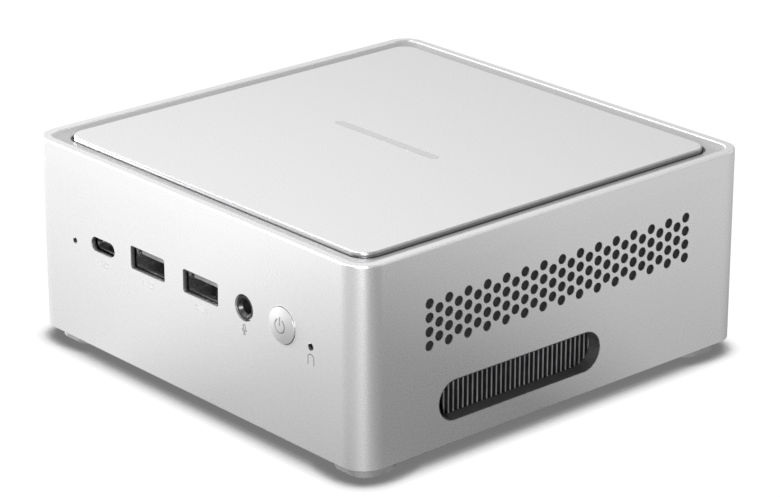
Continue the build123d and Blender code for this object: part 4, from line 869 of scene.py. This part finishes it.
# %% Tongues and contacts
TONGUE_SETBACK = 1.2 * MM
TONGUE_Z = 1.275 * MM
CONTACT_X = (-3.5, -1.0, 1.0, 3.5)
face_size = Vector((11.1, 0.10, 1.85)) * MM
strip_size = Vector((0.9, 6.0, 0.3)) * MM
knee_size = Vector((0.9, 1.2, 0.6)) * MM
strip_offset = Vector((0, 4.2, -0.05)) * MM
knee_offset = Vector((0, 2.2, -0.45)) * MM
faces = []
knees = []
strips = []
for low, high in flat_cans:
    middle = (low + high) / 2
    mouth = low.y + TONGUE_SETBACK
    faces.append(Vector((middle.x, mouth - face_size.y / 2 + HAIR, middle.z + TONGUE_Z)))
    for x in CONTACT_X:
        contact = Vector((middle.x + x * MM, mouth, middle.z))
        strips.append(contact + strip_offset)
        knees.append(contact + knee_offset)
single = {"Count": 1, "Seed": 1}
grow("tongue_faces", row_tree, faces, "chassis", "dark_plastic", "tongue_grey", Size=face_size, **single)
grow("contact_strips", row_tree, strips, "chassis", "gold", "steel", Size=strip_size, **single)
grow("contact_knees", row_tree, knees, "chassis", "gold", "steel", Size=knee_size, **single)

# %% [markdown]
# ## Small parts of the mainboard
# The stretches between a mainboard's large parts are never bare: they carry hundreds of small ceramic parts
# with bright ends. Scattering them at random would put some inside other parts. So we try places on a
# jittered grid and keep those where a ray up finds no part close above and a ray down finds the board.

# %% Free places on the board
BOARD_STEP = 2.9 * MM
CLEAR_HEIGHT = 2.6 * MM
PROBE_REACH = 1.1 * MM
PROBE_DEPTH = 1.2 * MM
JITTER = 0.25
KEPT_SHARE = 0.75
PART_LIFT = 0.7
PART_SIZE = Vector((1.1, 0.62, 0.5)) * MM
UP = Vector((0, 0, 1))
random.seed(7)
board_low, board_high = (Vector(corner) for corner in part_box("mainboard"))
corners, faces = [], []
for name, node in frame["nodes"].items():
    if name != "mainboard":
        start = len(corners)
        corners += [node.matrix_world @ vertex.co for vertex in node.data.vertices]
        faces += [[start + index for index in face.vertices] for face in node.data.polygons]
above = BVHTree.FromPolygons(corners, faces)
board_mesh = frame["nodes"]["mainboard"].data
board = BVHTree.FromPolygons([vertex.co for vertex in board_mesh.vertices],
                             [face.vertices for face in board_mesh.polygons])


def is_free(place):
    """True when the board lies just below the place and nothing is close above it."""
    for dx in (-1, 0, 1):
        for dy in (-1, 0, 1):
            spot = place + Vector((dx, dy, 0)) * PROBE_REACH
            below = board.ray_cast(spot + UP * MM, -UP, PROBE_DEPTH)[0]
            closed = above.ray_cast(spot + UP * HAIR, UP, CLEAR_HEIGHT)[0]
            if below is None or closed is not None:
                return False
    return True


small_parts = []
across = int((board_high.x - board_low.x) / BOARD_STEP)
along = int((board_high.y - board_low.y) / BOARD_STEP)
for column in range(1, across):
    for row in range(1, along):
        jitter = Vector((random.uniform(-JITTER, JITTER), random.uniform(-JITTER, JITTER), 0)) * MM
        x = board_low.x + column * BOARD_STEP
        y = board_low.y + row * BOARD_STEP
        place = Vector((x, y, board_high.z)) + jitter
        if random.random() < KEPT_SHARE and is_free(place):
            small_parts.append(place + UP * PART_SIZE.z * PART_LIFT)
print("places for small parts:", len(small_parts))

# %% [markdown]
# ## Grow the small parts
# The same points grow the bodies and then their two ends, each a row of blocks. One seed for both runs gives
# a body and its ends the same turn and the same size.

# %% Bodies and ends of the small parts
END_LENGTH = 0.24 * MM
end_size = Vector((END_LENGTH, PART_SIZE.y + 2 * HAIR, PART_SIZE.z + 2 * HAIR))
end_step = Vector((PART_SIZE.x - END_LENGTH / 2, 0, 0))
varied = {"Turning": 1.0, "Variation": 0.22, "Seed": 3}
grow("small_part_bodies", row_tree, small_parts, "chassis", "chip", "ceramic", Size=PART_SIZE, Count=1,
     **varied)
grow("small_part_ends", row_tree, small_parts, "chassis", "steel", "tinned", Size=end_size, Count=2,
     Step=end_step, **varied)

# %% [markdown]
# ## Printed signs
# Small signs are printed under the sockets, and the power sign is inlaid in the button. They could be a
# picture laid on the skin, but as thin pieces they stay sharp. A sign is a few strokes of even width, so one
# function turns any line of points into a thin ribbon that follows the surface behind it. Round strokes
# come from a formula.

# %% Ribbons
INK = 0.02 * MM


def arc(centre, radius, start, end, steps=16):
    """Points along a circle, in degrees, counted from straight up and turning right."""
    x, z = centre
    angles = [math.radians(start + (end - start) * step / steps) for step in range(steps + 1)]
    return [(x + radius * math.sin(angle), z + radius * math.cos(angle)) for angle in angles]


def ribbon(shape, line, width, surface, thickness):
    """Adds one stroke to the mesh: a strip of even width between the surface and its thickness."""
    rows = []
    for index, (x, z) in enumerate(line):
        before = Vector(line[max(index - 1, 0)])
        after = Vector(line[min(index + 1, len(line) - 1)])
        across = (after - before).normalized().orthogonal() * width / 2
        row = []
        for side in (-1, 1):
            spot = Vector((x, z)) + side * across
            front = surface(spot.x, spot.y)
            for y in (front, front + thickness):
                row.append(shape.verts.new((spot.x, y, spot.y)))
        rows.append(row)
    for first, second in zip(rows, rows[1:]):
        for a, b in ((0, 2), (2, 3), (3, 1), (1, 0)):
            shape.faces.new((first[a], first[b], second[b], second[a]))
    for end in (rows[0], rows[-1]):
        shape.faces.new((end[0], end[2], end[3], end[1]))


def draw_sign(name, lines, width, surface, thickness, body, finish):
    """A sign of several strokes as one piece."""
    shape = bmesh.new()
    for line in lines:
        ribbon(shape, [(x * MM, z * MM) for x, z in line], width, surface, thickness)
    mesh = bpy.data.meshes.new(name)
    shape.to_mesh(mesh)
    shape.free()
    mesh.materials.append(finishes[finish])
    finish_piece(name, mesh, body)
    print(name, len(lines), "strokes")


print("stroke helpers ready")

# %% [markdown]
# ## The front's signs
# Each sign is drawn in millimetres round its own middle: a plain outline with a bar for a socket, a
# microphone, and an arch. They are plain shapes of our own, so nobody's mark is copied. The socket signs are
# in a paler ink than the other two.

# %% Signs on the front
def on_front(x, z):
    """Just proud of the front face."""
    return FACE_FRONT - INK


def box_sign(x, z, width, height, corner):
    """Outline of a socket with a bar in it."""
    outline = []
    for sx, sz, start in ((1, 1, 0), (1, -1, 90), (-1, -1, 180), (-1, 1, 270)):
        centre = (x + sx * (width / 2 - corner), z + sz * (height / 2 - corner))
        outline += arc(centre, corner, start, start + 90, 4)
    return [outline + outline[:2], [(x - width / 5, z), (x + width / 5, z)]]


def microphone_sign(x, z):
    """Capsule, cradle and stand."""
    capsule = arc((x, z + 0.75), 0.38, -90, 90, 8) + arc((x, z + 0.05), 0.38, 90, 270, 8)
    capsule.append(capsule[0])
    cradle = arc((x, z + 0.1), 0.85, 100, 260, 10)
    stand = [(x, z - 0.75), (x, z - 1.35)]
    foot = [(x - 0.5, z - 1.35), (x + 0.5, z - 1.35)]
    return [capsule, cradle, stand, foot]


def arch_sign(x, z):
    """An open arch."""
    return [[(x - 1.05, z - 1.45)] + arc((x, z + 0.2), 1.05, -90, 90, 14) + [(x + 1.05, z - 1.45)]]


SIGN_Z = 27.4
SOCKET_SIGN = (4.4, 1.2)
OVAL_SIGN_CORNER = 0.55
FLAT_SIGN_CORNER = 0.25
thick = INK * 2
sign_corners = [OVAL_SIGN_CORNER] + [FLAT_SIGN_CORNER] * len(flat_cans)
for number, ((low, high), corner) in enumerate(zip(front_cans, sign_corners), 1):
    strokes = box_sign((low.x + high.x) / 2 / MM, SIGN_Z, *SOCKET_SIGN, corner)
    draw_sign(f"socket_sign_{number}", strokes, 0.22 * MM, on_front, thick, "chassis", "faint_ink")
jack_low, jack_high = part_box("audio_jack")
microphone = microphone_sign((jack_low[0] + jack_high[0]) / 2 / MM, SIGN_Z)
draw_sign("jack_sign", microphone, 0.26 * MM, on_front, thick, "chassis", "dark_ink")
arch = arch_sign(MIC_HOLE[0] / MM, SIGN_Z)
draw_sign("mic_sign", arch, 0.28 * MM, on_front, thick, "chassis", "dark_ink")

# %% [markdown]
# ## The button's sign
# The power sign, a ring with a gap and a bar, lies in the shallow engraving of the domed cap. The cap is part
# of a sphere, so the sphere's formula gives the depth of every point of a stroke. The sign rides on the
# button and goes in with it.

# %% Sign in the button
CAP_RADIUS = 4.55 * MM
CAP_RISE = 0.65 * MM
INLAY_DROP = 0.05 * MM
button_low, button_high = (Vector(corner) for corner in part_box("power_button"))
button_middle = (button_low + button_high) / 2
dome_radius = (CAP_RADIUS ** 2 + CAP_RISE ** 2) / (2 * CAP_RISE)


def in_dome(x, z):
    """A hair below the cap's domed face."""
    off = (x - button_middle.x) ** 2 + (z - button_middle.z) ** 2
    return button_low.y + dome_radius - math.sqrt(dome_radius ** 2 - off) + INLAY_DROP


sign_x, sign_z = button_middle.x / MM, button_middle.z / MM
sign_ring = arc((sign_x, sign_z), 1.71, 27, 333, 28)
sign_bar = [(sign_x, sign_z + 0.15), (sign_x, sign_z + 2.25)]
power_sign = [sign_ring, sign_bar]
draw_sign("power_sign", power_sign, 0.36 * MM, in_dome, 0.06 * MM, "power_button", "dark_ink")

# %% [markdown]
# ## Close the scene

# %% End
print("scene built")
